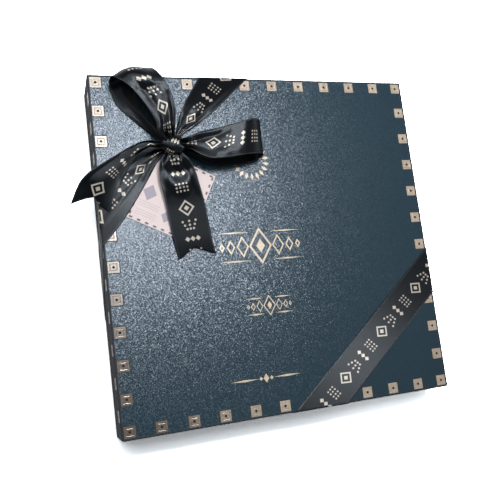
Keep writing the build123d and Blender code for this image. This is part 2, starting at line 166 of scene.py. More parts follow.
class Nodes:
    """Short calls that make and link the nodes of one material, world or shader group."""

    # Places of a Mix node's two colours among its inputs, and of its colour among its outputs.
    MIX_LOW, MIX_HIGH, MIXED = 6, 7, 2

    def __init__(self, tree: bpy.types.NodeTree) -> None:
        """Keeps the node tree that is built."""
        self.tree = tree

    @classmethod
    def of(cls, owner: bpy.types.Material | bpy.types.World) -> "Nodes":
        """A builder on the emptied node tree of a material or a world."""
        owner.use_nodes = True
        owner.node_tree.nodes.clear()
        return cls(owner.node_tree)

    def add(self, kind: str, inputs: dict | None = None, **settings: object) -> bpy.types.Node:
        """Makes a node.

        Args:
            kind: the node's type, such as ShaderNodeMath.
            inputs: values, signals or output sockets for its inputs, by name or place.
            settings: values for its properties.

        Returns:
            The node.
        """
        node = self.tree.nodes.new(kind)
        for name, value in settings.items():
            setattr(node, name, value)
        for key, value in (inputs or {}).items():
            value = value.socket if isinstance(value, Signal) else value
            if isinstance(value, bpy.types.NodeSocket):
                self.tree.links.new(value, node.inputs[key])
            else:
                node.inputs[key].default_value = value
        return node

    def signal(self, node: bpy.types.Node, output: str | int = 0) -> Signal:
        """One output of a node as a Signal."""
        return Signal(self, node.outputs[output])

    def read(
        self, kind: str, inputs: dict | None = None, output: str | int = 0, **settings: object
    ) -> Signal:
        """Makes a node as add does, and gives one of its outputs as a Signal."""
        return self.signal(self.add(kind, inputs, **settings), output)

    def math(self, operation: str, *values: Signal | float) -> Signal:
        """The result of one Math node."""
        return self.read("ShaderNodeMath", dict(enumerate(values)), operation=operation)

    def ramp(self, value: Signal, low: float, high: float) -> Signal:
        """A smooth step from 0 at low to 1 at high."""
        inputs = {"Value": value, "From Min": low, "From Max": high}
        return self.read("ShaderNodeMapRange", inputs, interpolation_type="SMOOTHSTEP")

    def mix(self, mask: Signal, low: object, high: object) -> Signal:
        """A colour that goes from low to high as the mask goes from 0 to 1."""
        inputs = {"Factor": mask, self.MIX_LOW: low, self.MIX_HIGH: high}
        return self.read("ShaderNodeMix", inputs, self.MIXED, data_type="RGBA")

    def between(self, mask: Signal, low: float, high: float) -> Signal:
        """A number that goes from low to high as the mask goes from 0 to 1."""
        return mask * (high - low) + low

    def place(self) -> Signal:
        """The point on the piece, in metres in its own frame."""
        return self.read("ShaderNodeTexCoord", output="Object")

    def split(self, vector: Signal) -> tuple[Signal, Signal, Signal]:
        """A vector's three parts."""
        node = self.add("ShaderNodeSeparateXYZ", {0: vector})
        return tuple(self.signal(node, index) for index in range(3))

    def noise(self, vector: Signal, size: float, detail: float = 3.0) -> Signal:
        """Soft cloudy noise from 0 to 1 with patches of about a size in metres."""
        inputs = {"Vector": vector, "Scale": 1 / size, "Detail": detail}
        return self.read("ShaderNodeTexNoise", inputs)

    def bump(
        self, height: Signal, depth: float, strength: float, normal: Signal | None = None
    ) -> Signal:
        """A normal bent by a height.

        Args:
            height: relief from 0 to 1.
            depth: the relief's real depth in metres.
            strength: the Bump node's own strength.
            normal: a normal to start from, where there is one.

        Returns:
            The bent normal.
        """
        inputs = {"Height": height, "Distance": depth, "Strength": strength}
        if normal is not None:
            inputs["Normal"] = normal
        return self.read("ShaderNodeBump", inputs)


@dataclass(frozen=True)
class Effect:
    """A shader group with named sockets, built when first used and then shared."""

    name: str
    inputs: tuple[str, ...]
    outputs: tuple[str, ...]
    recipe: Callable[[Nodes, dict[str, Signal]], dict[str, Signal]]
    vectors: tuple[str, ...] = ("Place", "Normal")

    def tree(self) -> bpy.types.NodeTree:
        """The shader group, made on the first call."""
        found = bpy.data.node_groups.get(self.name)
        if found is not None:
            return found
        tree = bpy.data.node_groups.new(self.name, "ShaderNodeTree")
        for way, names in (("INPUT", self.inputs), ("OUTPUT", self.outputs)):
            for name in names:
                kind = "NodeSocketVector" if name in self.vectors else "NodeSocketFloat"
                tree.interface.new_socket(name, in_out=way, socket_type=kind)
        nodes = Nodes(tree)
        source = nodes.add("NodeGroupInput")
        given = {name: nodes.signal(source, name) for name in self.inputs}
        nodes.add("NodeGroupOutput", self.recipe(nodes, given))
        return tree

    def on(self, nodes: Nodes, **values: object) -> dict[str, Signal]:
        """Places the group in a material.

        Args:
            nodes: the material's builder.
            values: the group's inputs by name.

        Returns:
            The group's outputs by name.
        """
        node = nodes.add("ShaderNodeGroup", values, node_tree=self.tree())
        return {name: nodes.signal(node, name) for name in self.outputs}


def flake_recipe(nodes: Nodes, given: dict[str, Signal]) -> dict[str, Signal]:
    """Tiny pearl flakes, each tilted its own way."""
    cell = {"Vector": given["Place"], "Scale": 1 / given["Size"]}
    own = nodes.read("ShaderNodeTexVoronoi", cell, "Color")
    ways = {0: own, 1: (0.5, 0.5, 0.5)}
    spread = nodes.read("ShaderNodeVectorMath", ways, operation="SUBTRACT")
    tilt = {0: spread, "Scale": given["Tilt"]}
    lean = nodes.read("ShaderNodeVectorMath", tilt, operation="SCALE")
    surface = nodes.read("ShaderNodeNewGeometry", output="Normal")
    bent = nodes.read("ShaderNodeVectorMath", {0: surface, 1: lean}, operation="ADD")
    return {"Normal": nodes.read("ShaderNodeVectorMath", {0: bent}, operation="NORMALIZE")}


def fibre_recipe(nodes: Nodes, given: dict[str, Signal]) -> dict[str, Signal]:
    """Fine crossing paper fibres over a cloudy ground."""
    place, scale = given["Place"], 1 / given["Size"]
    layers = [(place, scale * 0.06, 2.0)]
    for stretch in ((1.0, 0.14, 0.14), (0.14, 1.0, 0.14), (0.14, 0.14, 1.0)):
        mapped = nodes.read("ShaderNodeMapping", {"Vector": place, "Scale": stretch})
        layers.append((mapped, scale, 4.0))
    ground, one, two, three = (
        nodes.read("ShaderNodeTexNoise", {"Vector": vector, "Scale": fine, "Detail": detail})
        for vector, fine, detail in layers
    )
    fibres = (one + two + three) * (1 / 3)
    return {"Height": fibres, "Tone": fibres * 0.7 + ground * 0.3}


def rim_recipe(nodes: Nodes, given: dict[str, Signal]) -> dict[str, Signal]:
    """How near a point is to an edge of the lid, for painted edge shade and for patches where
    paper rubs.
    """
    # Widths of the painted edge shade and of its ragged margin, and of the fade from the face to
    # the walls.
    edge_shade_span, ragged, face_edge = (1.5 * MM, 0.6 * MM), 0.3 * MM, (0.9 * MM, 0.3 * MM)
    x, y, z = nodes.split(given["Place"])
    to_x, to_y, to_z = LID_HALF - abs(x), LID_HALF - abs(y), LID_TOP - z
    near = largest(smallest(to_x, to_y), smallest(to_z, largest(to_x, to_y)))
    patches = nodes.noise(given["Place"], 3 * MM)
    edge = nodes.ramp(near - patches * ragged, *edge_shade_span)
    return {
        "Edge": edge,
        "Wear": edge * nodes.ramp(patches, 0.5, 0.75),
        "Face": nodes.ramp(to_z, *face_edge),
    }


def outline_shade_recipe(nodes: Nodes, given: dict[str, Signal]) -> dict[str, Signal]:
    """The narrow dark line painted round each foil square of the lid's face, as shade at its
    pressed edge.
    """
    # Half the squares' pitch, where it stops repeating, their row's place and the line's.
    half_pitch, repeated, row, line = 10 * MM, 100 * MM, 109 * MM, (4.25 * MM, 3.9 * MM)
    east, north = (abs(part) for part in nodes.split(given["Place"])[:2])
    gaps = []
    for along, across in ((east, north), (north, east)):
        inner = half_pitch - along.math("MINIMUM", repeated).math("PINGPONG", half_pitch)
        beside = smallest(inner, abs(along - row))
        gaps.append(largest(beside, abs(across - row)))
    return {"Line": nodes.ramp(smallest(*gaps), *line)}


FLAKES = Effect("pearl_flakes", ("Place", "Size", "Tilt"), ("Normal",), flake_recipe)
FIBRES = Effect("paper_fibres", ("Place", "Size"), ("Height", "Tone"), fibre_recipe)
RIM = Effect("box_rim", ("Place",), ("Edge", "Wear", "Face"), rim_recipe)
OUTLINE_SHADE = Effect("painted_outline_shade", ("Place",), ("Line",), outline_shade_recipe)


# Finishes


class Finish:
    """A material with a name, built when first asked for and then shared."""

    name: str

    def material(self) -> bpy.types.Material:
        """The finish's material, built on the first call."""
        found = bpy.data.materials.get(self.name)
        if found is not None:
            return found
        made = bpy.data.materials.new(self.name)
        nodes = Nodes.of(made)
        shader = nodes.add("ShaderNodeBsdfPrincipled", self.sockets(nodes))
        nodes.add("ShaderNodeOutputMaterial", {"Surface": shader.outputs[0]})
        return made

    def sockets(self, nodes: Nodes) -> dict[str, object]:
        """Values and signals for the Principled shader's sockets, by name."""
        raise NotImplementedError

    def dress(self, *names: str) -> None:
        """Gives CAD nodes this finish alone."""
        for name in names:
            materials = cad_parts[name].data.materials
            materials.clear()
            materials.append(self.material())


@dataclass(frozen=True)
class PearlPaper(Finish):
    """Dark pearlescent wrapping paper with fine flakes, with painted shade on its walls, along its
    edges and round its foil squares.
    """

    name: str = "pearl_paper"
    body: Colour = srgb(16, 44, 56)
    # Painted shade: the walls are painted darker and browner than the face, for how the paper
    # looks edge-on.
    walls: Colour = srgb(28, 22, 20)
    # Painted shade: the near-black painted along the lid's edges and round the foil squares.
    crease: Colour = srgb(7, 10, 13)
    rubbed: Colour = srgb(92, 104, 112)
    gloss: Colour = (0.8, 0.88, 1.0, 1.0)
    shine: float = 0.8
    cloud_size: float = 18 * MM
    cloud_lift: float = 1.16
    flake_size: float = 0.39 * MM
    flake_tilt: float = 0.26
    grain_size: float = 0.7 * MM
    grain_depth: float = 0.01 * MM
    roughness: float = 0.285
    wall_roughness: float = 1.0

    def sockets(self, nodes: Nodes) -> dict[str, object]:
        """A dark body, flakes that lean each their own way, and painted shade on the walls, along
        the edges and round the foil squares.
        """
        place = nodes.place()
        flakes = FLAKES.on(nodes, Place=place, Size=self.flake_size, Tilt=self.flake_tilt)
        rim = RIM.on(nodes, Place=place)
        cloud = nodes.noise(place, self.cloud_size)
        face = nodes.mix(cloud, self.body, scaled(self.body, self.cloud_lift))
        # Painted shade: the walls take the darker wall colour and the face keeps the body colour.
        body = nodes.mix(rim["Face"], self.walls, face)
        # Painted shade: a narrow dark outline round each foil square of the face.
        pressed = OUTLINE_SHADE.on(nodes, Place=place)["Line"] * rim["Face"]
        # Painted shade: a dark line along the lid's edges and round the foil squares of the face.
        folded = largest(rim["Edge"] * 0.95, pressed * 0.8)
        edged = nodes.mix(folded, body, self.crease)
        grain = nodes.noise(place, self.grain_size, 2.0)
        smooth = nodes.between(grain, self.roughness - 0.03, self.roughness + 0.03)
        dull = (1.0 - rim["Face"]) * (self.wall_roughness - self.roughness)
        return {
            "Base Color": nodes.mix(rim["Wear"] * 0.1, edged, self.rubbed),
            "Roughness": smooth + dull + folded * 0.5,
            "Normal": nodes.bump(grain, self.grain_depth, 0.15, flakes["Normal"]),
            "Specular IOR Level": self.shine,
            "Specular Tint": self.gloss,
        }


@dataclass(frozen=True)
class Foil(Finish):
    """Hot-stamped metal foil with a mottled, slightly crushed surface."""

    name: str = "stamped_foil"
    bright: Colour = srgb(193, 179, 162)
    dull: Colour = srgb(157, 141, 123)
    # Painted shade: the colour the foil is darkened to towards the lid's lower left corner, and
    # where that darkening starts and ends.
    corner_shade: Colour = srgb(74, 62, 54)
    corner_shade_span: tuple[float, float] = (-60 * MM, -190 * MM)
    ragged: float = 40 * MM
    cloud_size: float = 12 * MM
    mottle_size: float = 1.1 * MM
    mottle_depth: float = 0.08 * MM
    roughness: float = 0.28
    metal: float = 0.05
    shine: float = 1.0

    def sockets(self, nodes: Nodes) -> dict[str, object]:
        """Mottled metal with painted shade that darkens it towards the lid's lower left corner."""
        place = nodes.place()
        mottle = nodes.noise(place, self.mottle_size, 4.0)
        cloud = nodes.noise(place, self.cloud_size)
        tone = nodes.ramp(mottle * 0.6 + cloud * 0.4, 0.3, 0.7)
        east, north, _ = nodes.split(place)
        lean = east * 1.4 + north * 0.6 + mottle * self.ragged
        fresh = nodes.mix(tone, self.dull, self.bright)
        # Painted shade: darker towards the lower left corner, along a ragged, mottled line.
        corner = nodes.ramp(lean, *self.corner_shade_span)
        return {
            "Base Color": nodes.mix(corner * 0.85, fresh, self.corner_shade),
            "Metallic": self.metal,
            "Roughness": nodes.between(mottle, self.roughness - 0.05, self.roughness + 0.08),
            "Normal": nodes.bump(mottle, self.mottle_depth, 0.4),
            "Specular IOR Level": self.shine,
        }


@dataclass(frozen=True)
class PlainPaper(Finish):
    """A papered or board surface with fibres and a faint cloud in its tone."""

    name: str
    light: Colour
    dark: Colour
    fibre: float = 0.6 * MM
    roughness: float = 0.75
    relief: float = 0.06 * MM

    def sockets(self, nodes: Nodes) -> dict[str, object]:
        """Fibres in the tone, the roughness and the relief."""
        fibres = FIBRES.on(nodes, Place=nodes.place(), Size=self.fibre)
        tone = nodes.ramp(fibres["Tone"], 0.35, 0.65)
        return {
            "Base Color": nodes.mix(tone, self.dark, self.light),
            "Roughness": nodes.between(tone, self.roughness + 0.08, self.roughness - 0.08),
            "Normal": nodes.bump(fibres["Height"], self.relief, 0.5),
        }


@dataclass(frozen=True)
class CardStock(Finish):
    """Pale uncoated card with a border of small marks, ruled lines and two grey lozenges."""

    name: str = "gift_card_stock"
    paper: Colour = srgb(222, 208, 208)
    mark: Colour = srgb(84, 78, 84)
    tint: Colour = srgb(160, 156, 168)
    corner: tuple[float, float] = (-76.0 * MM, 64.9 * MM)
    angle: float = -27.5
    width: float = 42.6 * MM
    height: float = 49.2 * MM
    pitch: float = 5.33 * MM
    inset: float = 1.35 * MM
    soft: float = 0.12 * MM

    def sockets(self, nodes: Nodes) -> dict[str, object]:
        """Fibres in the paper and the marks, measured from the card's upper left corner."""
        place = nodes.place()
        seat = {
            "Vector": place,
            "Location": (*self.corner, 0.0),
            "Rotation": (0.0, 0.0, math.radians(self.angle)),
        }
        turned = nodes.read("ShaderNodeMapping", seat, vector_type="TEXTURE")
        across, up, _ = nodes.split(turned)
        down = up * -1.0
        fibres = FIBRES.on(nodes, Place=place, Size=0.5 * MM)
        tone = nodes.ramp(fibres["Tone"], 0.3, 0.7)

        def strip(value: Signal, middle: float, half: float) -> Signal:
            """A soft-edged strip of a half width about a middle."""
            return abs(value - middle * MM).below(half * MM, self.soft)

        def bar(along: Signal, side: Signal, size: float) -> Signal:
            """Short marks in a row beside the two edges that bound a side of a size."""
            row = abs(smallest(side, size - side) - self.inset).below(0.6 * MM, self.soft)
            return abs(along.within(self.pitch)).below(1.1 * MM, self.soft) * row

        def lozenge(x: float, y: float, half_width: float, half_height: float) -> Signal:
            """A filled lozenge, in millimetres."""
            gap = abs(across - x * MM) * (1 / (half_width * MM))
            return (gap + abs(down - y * MM) * (1 / (half_height * MM))).below(1.0, 0.06)

        marks = largest(bar(across, down, self.height), bar(down, across, self.width))
        lines = abs(down.within(1.5 * MM)).below(0.2 * MM, self.soft) * strip(across, 10.5, 7.0)
        groups = largest(strip(down, 36.6, 2.3), strip(down, 42.6, 2.3))
        grey = largest(lozenge(8.0, 28.5, 4.6, 5.6), lozenge(23.0, 39.0, 3.4, 4.2))
        paper = nodes.mix(tone, scaled(self.paper, 0.93), self.paper)
        tinted = nodes.mix(largest(grey, lines * groups * 0.55), paper, self.tint)
        return {
            "Base Color": nodes.mix(marks * 0.9, tinted, self.mark),
            "Roughness": nodes.between(tone, 0.78, 0.62),
            "Normal": nodes.bump(fibres["Height"], 0.04 * MM, 0.5),
        }


@dataclass(frozen=True)
class Satin(Finish):
    """Black satin ribbon on its UV map: widths across and along, with hems and a foil print."""

    name: str
    printed: bool = False
    body: Colour = srgb(3, 5, 8)
    bright: Colour = srgb(7, 10, 15)
    gloss: Colour = (0.82, 0.91, 1.0, 1.0)
    hem: Colour = srgb(44, 48, 55)
    ink: Colour = srgb(194, 187, 178)
    shine: float = 0.46
    roughness: float = 0.4
    anisotropy: float = 1.0
    hem_inside: tuple[float, float] = (0.455, 0.47)
    hem_outside: tuple[float, float] = (0.498, 0.485)
    wefts: int = 70
    warp_size: float = 0.012
    repeat: float = 1.7
    soft: float = 0.012

    def sockets(self, nodes: Nodes) -> dict[str, object]:
        """Fine warp threads, a woven hem on both edges and, on the face, the foil print."""
        cloth = nodes.read("ShaderNodeUVMap", uv_map="cloth")
        across, along, _ = nodes.split(cloth)
        middle = abs(across - 0.5)
        hem = nodes.ramp(middle, *self.hem_inside) * nodes.ramp(middle, *self.hem_outside)
        threads = nodes.read("ShaderNodeMapping", {"Vector": cloth, "Scale": (1.0, 0.02, 1.0)})
        warp = nodes.noise(threads, self.warp_size, 2.0)
        weft = nodes.math("SINE", along * (2 * math.pi * self.wefts)) * 0.5 + 0.5
        body = nodes.mix(nodes.ramp(warp, 0.3, 0.75), self.body, self.bright)
        values: dict[str, object] = {
            "Base Color": nodes.mix(hem * nodes.between(weft, 0.5, 1.0), body, self.hem),
            "Roughness": nodes.between(warp, self.roughness - 0.06, self.roughness + 0.06),
            "Normal": nodes.bump(warp * 0.7 + weft * hem * 0.3, 0.05 * MM, 0.5),
            "Anisotropic": self.anisotropy,
            "Specular IOR Level": self.shine,
            "Specular Tint": self.gloss,
            "Tangent": nodes.read("ShaderNodeTangent", direction_type="UV_MAP", uv_map="cloth"),
        }
        if self.printed:
            ink = self.print_mask(across - 0.5, along)
            values["Base Color"] = nodes.mix(ink, values["Base Color"], self.ink)
            values["Metallic"] = ink * 0.3
        return values

    def print_mask(self, across: Signal, along: Signal) -> Signal:
        """Where the foil print lies: lozenge rings, quincunxes of dots and rows of beads.

        Args:
            across: widths across the ribbon, from its middle.
            along: widths along it.

        Returns:
            The print's mask.
        """

        def spot(centre: float, side: float) -> tuple[Signal, Signal]:
            """What lies between a point and a place across the ribbon and along the repeat."""
            return across - side, (along - centre).within(self.repeat)

        def lozenge(centre: float, side: float, half: float) -> Signal:
            """A lozenge at a place along the repeat and across the ribbon."""
            x, y = spot(centre, side)
            return (abs(x) + abs(y)).below(half, self.soft)

        def dot(centre: float, side: float, radius: float) -> Signal:
            """A round dot at a place along the repeat and across the ribbon."""
            return distance(*spot(centre, side)).below(radius, self.soft)

        ring = lozenge(0.0, 0.0, 0.21) * (1.0 - lozenge(0.0, 0.0, 0.155))
        chain = [
            dot(0.34 + row * 0.1, side * 0.085, 0.027)
            for row in range(3)
            for side in (-2 + 0.5 * row, 0.0, 2 - 0.5 * row)
        ]
        small = [lozenge(0.8, side, 0.066) for side in (-0.14, 0.0, 0.14)]
        beads = [
            dot(1.08 + row * 0.09, side * 0.072, 0.023)
            for row in range(3)
            for side in (-2, -0.7, 0.7, 2)
        ]
        return largest(ring, lozenge(0.0, 0.0, 0.07), *chain, *small, *beads)


PRINTED_SATIN = Satin("printed_satin", printed=True)
SATIN_BACK = Satin("satin_back", shine=0.24)


# Mesh building


def kept_mesh(shape: bmesh.types.BMesh, name: str) -> bpy.types.Mesh:
    """Keeps a bmesh as a mesh, and frees it."""
    mesh = bpy.data.meshes.new(name)
    shape.to_mesh(mesh)
    shape.free()
    return mesh


def placed(name: str, data: bpy.types.ID) -> bpy.types.Object:
    """A new object in the scene, at the origin."""
    made = bpy.data.objects.new(name, data)
    bpy.context.scene.collection.objects.link(made)
    return made


def new_piece(
    name: str, shape: bmesh.types.BMesh, body: str, *finishes: Finish
) -> bpy.types.Object:
    """Makes an object of a bmesh and lets it ride on a CAD body.

    Args:
        name: the piece's name.
        shape: its shape, which is freed.
        body: the CAD body that it moves with.
        finishes: its materials, in the order of its faces' material numbers.

    Returns:
        The object, at the origin.
    """
    mesh = kept_mesh(shape, name)
    for finish in finishes:
        mesh.materials.append(finish.material())
    piece = placed(name, mesh)
    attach(piece, body)
    LOG.info("%s: %d faces on %s", name, len(mesh.polygons), body)
    return piece


def stand_in(piece: bpy.types.Object, node: str, slot: str) -> None:
    """Shades a piece smoothly and lets it stand for a CAD node, which it hides."""
    piece.data.shade_smooth()
    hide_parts(node)


def skinned(piece: bpy.types.Object, thickness: float, offset: float = 0.0) -> bpy.types.Modifier:
    """Gives a surface a thickness, and returns the modifier."""
    skin = piece.modifiers.new("thickness", "SOLIDIFY")
    skin.thickness = thickness
    skin.offset = offset
    return skin


def stamp(target: bmesh.types.BMesh, source: bpy.types.Mesh, placement: Matrix) -> None:
    """Adds a copy of a mesh to a bmesh at a place."""
    first = len(target.verts)
    target.from_mesh(source)
    target.verts.ensure_lookup_table()
    bmesh.ops.transform(target, matrix=placement, verts=target.verts[first:])


def mend(shape: bmesh.types.BMesh) -> None:
    """Merges points that meet and turns all faces outwards."""
    bmesh.ops.remove_doubles(shape, verts=shape.verts, dist=0.001 * MM)
    bmesh.ops.recalc_face_normals(shape, faces=shape.faces)


def inset(shape: bmesh.types.BMesh, faces: list, width: float, depth: float = 0.0) -> None:
    """Draws faces in by a width on all sides, and down or up by a depth."""
    bmesh.ops.inset_region(
        shape, faces=faces, thickness=width, depth=depth, use_boundary=True, use_even_offset=True
    )


def disc(shape: bmesh.types.BMesh, segments: int, radius: float) -> tuple[list, list]:
    """A filled circle on z = 0, as its points and the edges round it."""
    made = bmesh.ops.create_circle(shape, cap_ends=True, segments=segments, radius=radius)
    return made["verts"], [edge for edge in shape.edges if edge.is_boundary]


def grown(shape: bmesh.types.BMesh, edges: list) -> tuple[list, list]:
    """Extrudes closed lines of edges, and returns the new points and the new lines' edges."""
    made = bmesh.ops.extrude_edge_only(shape, edges=edges)["geom"]
    ring = [item for item in made if isinstance(item, bmesh.types.BMVert)]
    sides = [item for item in made if isinstance(item, bmesh.types.BMEdge)]
    return ring, [edge for edge in sides if all(vert in ring for vert in edge.verts)]


def polar(reach: float, turn: float, height: float) -> Vector:
    """The point at a reach from the Z axis, in a direction and at a height."""
    return Vector((reach * math.cos(turn), reach * math.sin(turn), height))


def cloth_mesh(columns: int, rows: int, cloth: Callable, spot: Callable) -> bmesh.types.BMesh:
    """A grid of faces bent as a sheet of cloth.

    Args:
        columns, rows: faces across and along.
        cloth: gives the place on the flat cloth, in widths, from shares across and along.
        spot: gives the point from the same shares.

    Returns:
        The surface, with its cloth UV map.
    """
    shape = bmesh.new()
    bmesh.ops.create_grid(shape, x_segments=columns, y_segments=rows, size=0.5)
    layer = shape.loops.layers.uv.new("cloth")
    shares = {vert: (vert.co.x + 0.5, vert.co.y + 0.5) for vert in shape.verts}
    for face in shape.faces:
        for loop in face.loops:
            loop[layer].uv = cloth(*shares[loop.vert])
    for vert, share in shares.items():
        vert.co = spot(*share)
    return shape


# Lid


@dataclass
class Lid:
    """The wrapped lid: its papers, the border of foil squares and a plain foil ornament."""

    square: float = 7.0 * MM
    dot: float = 0.88 * MM
    dot_lift: float = 0.03 * MM
    margin: float = 5.0 * MM
    corner_pitch: float = 19.0 * MM
    pitch: float = 20.0 * MM
    count: int = 12
    foil_height: float = 0.08 * MM
    wall_drop: float = 4.6 * MM
    wreath: tuple[float, float] = (-12.8 * MM, 55.3 * MM)
    wreath_radius: float = 11.0 * MM
    wreath_count: int = 18

    def square_mesh(self) -> bpy.types.Mesh:
        """One foil square with a pressed frame line and a dark pierced dot."""
        shape = bmesh.new()
        bmesh.ops.create_grid(shape, x_segments=1, y_segments=1, size=self.square / 2)
        inner = shape.faces[:]
        for width, depth in ((1.1, 0.0), (0.35, -0.08), (0.35, 0.08)):
            inset(shape, inner, width * MM, depth * MM)
        self.thicken(shape)
        dot = bmesh.ops.create_circle(shape, cap_ends=True, segments=12, radius=self.dot)["verts"]
        bmesh.ops.translate(shape, vec=(0, 0, self.foil_height + self.dot_lift), verts=dot)
        for face in {face for vert in dot for face in vert.link_faces}:
            face.material_index = 1
        mend(shape)
        return kept_mesh(shape, "foil_square")

    def thicken(self, shape: bmesh.types.BMesh) -> None:
        """Lifts a flat foil shape to its height and gives it edges down to the paper."""
        low, _ = grown(shape, [edge for edge in shape.edges if edge.is_boundary])
        bmesh.ops.translate(shape, vec=(0, 0, -self.foil_height), verts=low)
        bmesh.ops.translate(shape, vec=(0, 0, self.foil_height), verts=shape.verts)

    def lozenge_mesh(self, half_width: float, half_height: float, line: float) -> bpy.types.Mesh:
        """A foil lozenge.

        Args:
            half_width, half_height: its half diagonals.
            line: width of its frame, or 0 where it is filled.

        Returns:
            The lozenge, on z = 0.
        """
        shape = bmesh.new()
        bmesh.ops.create_circle(shape, cap_ends=True, segments=4, radius=1.0)
        bmesh.ops.scale(shape, vec=(half_width, half_height, 1.0), verts=shape.verts)
        if line:
            inner = shape.faces[:]
            inset(shape, inner, line)
            bmesh.ops.delete(shape, geom=inner, context="FACES")
        self.thicken(shape)
        mend(shape)
        return kept_mesh(shape, "foil_lozenge")

    def ornament(self, foil: Finish) -> None:
        """Plain foil lozenges, tapered bars and a wreath on the lid's face."""
        shape = bmesh.new()

        def lay(x: float, y: float, size: tuple[float, float], line: float = 0.0) -> None:
            """Lays one lozenge at a place in millimetres."""
            pattern = self.lozenge_mesh(size[0] * MM, size[1] * MM, line * MM)
            stamp(shape, pattern, Matrix.Translation((x * MM, y * MM, LID_TOP)))

        for x, y, scale in ((-13.0, -3.0, 1.0), (-12.0, -43.0, 0.55)):
            lay(x, y, (8.0 * scale, 12.5 * scale), 1.25 * scale)
            lay(x, y, (3.0 * scale, 4.8 * scale))
            for side in (-1, 1):
                for step, size in ((12.4, (4.2, 7.2)), (20.6, (2.9, 4.9)), (26.6, (1.9, 3.1))):
                    lay(x + side * step * scale, y, tuple(s * scale for s in size), 0.9 * scale)
                for row in (-1, 1):
                    lay(x + side * 18.0 * scale, y + row * 9.5 * scale, (11.0 * scale, 0.55))
        for side in (-1, 1):
            lay(-20.5 + side * 14.5, -89.5, (9.5, 0.7))
            lay(-20.5 + side * 3.6, -89.5, (1.3, 1.3))
        lay(-20.5, -89.5, (1.9, 3.0))
        petal = self.lozenge_mesh(1.15 * MM, 2.5 * MM, 0.0)
        for turn in range(self.wreath_count):
            around = Matrix.Rotation(2 * math.pi * turn / self.wreath_count, 4, "Z")
            spot = Matrix.Translation((*self.wreath, LID_TOP)) @ around
            stamp(shape, petal, spot @ Matrix.Translation((0, self.wreath_radius, 0)))
        new_piece("foil_ornament", shape, "lid", foil)

    def places(self) -> list[float]:
        """Middles of the squares along one edge of the lid."""
        start = LID_HALF - self.margin
        inner = [start - self.corner_pitch - self.pitch * index for index in range(self.count - 2)]
        return [start, *inner, -start]

    def face_spots(self) -> list[Matrix]:
        """Placements of the squares round the lid's face."""
        places = self.places()
        ends = (places[0], places[-1])
        spots = {(x, y) for x in places for y in ends} | {(x, y) for x in ends for y in places}
        return [Matrix.Translation((x, y, LID_TOP)) for x, y in sorted(spots)]

    def wall_spots(self) -> list[Matrix]:
        """Placements of the squares on the four walls, half a step off those of the face."""
        places = self.places()
        upright = Matrix.Rotation(math.pi / 2, 4, "Y")
        return [
            Matrix.Rotation(math.pi / 2 * turn, 4, "Z")
            @ Matrix.Translation((LID_HALF, (one + two) / 2, LID_TOP - self.wall_drop))
            @ upright
            for turn in range(4)
            for one, two in zip(places, places[1:])
        ]

    def build(self) -> None:
        """Dresses the lid's CAD pieces and adds its foil."""
        PearlPaper().dress("lid_wrap")
        GREYBOARD.dress("lid_board")
        LINING.dress("lid_lining")
        for side, spots in (("face", self.face_spots()), ("walls", self.wall_spots())):
            shape = bmesh.new()
            pattern = self.square_mesh()
            for spot in spots:
                stamp(shape, pattern, spot)
            new_piece(f"foil_squares_{side}", shape, "lid", Foil(), INK)
        self.ornament(Foil("pale_foil", srgb(226, 212, 188), srgb(196, 178, 152)))


GREYBOARD = PlainPaper("greyboard", srgb(150, 146, 138), srgb(118, 114, 107), 1.2 * MM, 0.85)
LINING = PlainPaper("lining_paper", srgb(58, 50, 46), srgb(44, 38, 35))
INK = PlainPaper("pierced_dot", srgb(16, 18, 23), srgb(8, 9, 12))


# Ribbon


def swell(gap: float, reach: float) -> float:
    """A smooth rise from 0, at a reach or more away, to 1 where there is no gap."""
    return 0.5 + 0.5 * math.cos(math.pi * min(1.0, gap / reach))


class Crease:
    """Something that lifts the cloth of a ribbon off its smooth run."""

    def lift(self, across: float, along: float) -> float:
        """How far the cloth is lifted at a place, in metres.

        Args:
            across: share of the ribbon's width.
            along: widths along the ribbon.

        Returns:
            The lift towards the printed side.
        """
        raise NotImplementedError


@dataclass(frozen=True)
class Fold(Crease):
    """A soft crease on a ribbon, from one place on it to another."""

    start: tuple[float, float]
    end: tuple[float, float]
    height: float
    spread: float

    def lift(self, across: float, along: float) -> float:
        """The crease's lift, which fades to both its ends and to both sides."""
        run = (along - self.start[1]) / (self.end[1] - self.start[1])
        if not 0 <= run <= 1:
            return 0.0
        centre = self.start[0] + (self.end[0] - self.start[0]) * run
        return self.height * math.sin(math.pi * run) * swell(abs(across - centre), self.spread)


@dataclass(frozen=True)
class Rim(Crease):
    """A low ridge across a ribbon, bowed towards its far end and fading to both edges."""

    peak: float
    bow: float
    height: float
    reach: float

    def lift(self, across: float, along: float) -> float:
        """The ridge's lift."""
        side = (2 * across - 1) ** 2
        gap = abs(along - self.peak + self.bow * side)
        return self.height * (1 - side) * swell(gap, self.reach)


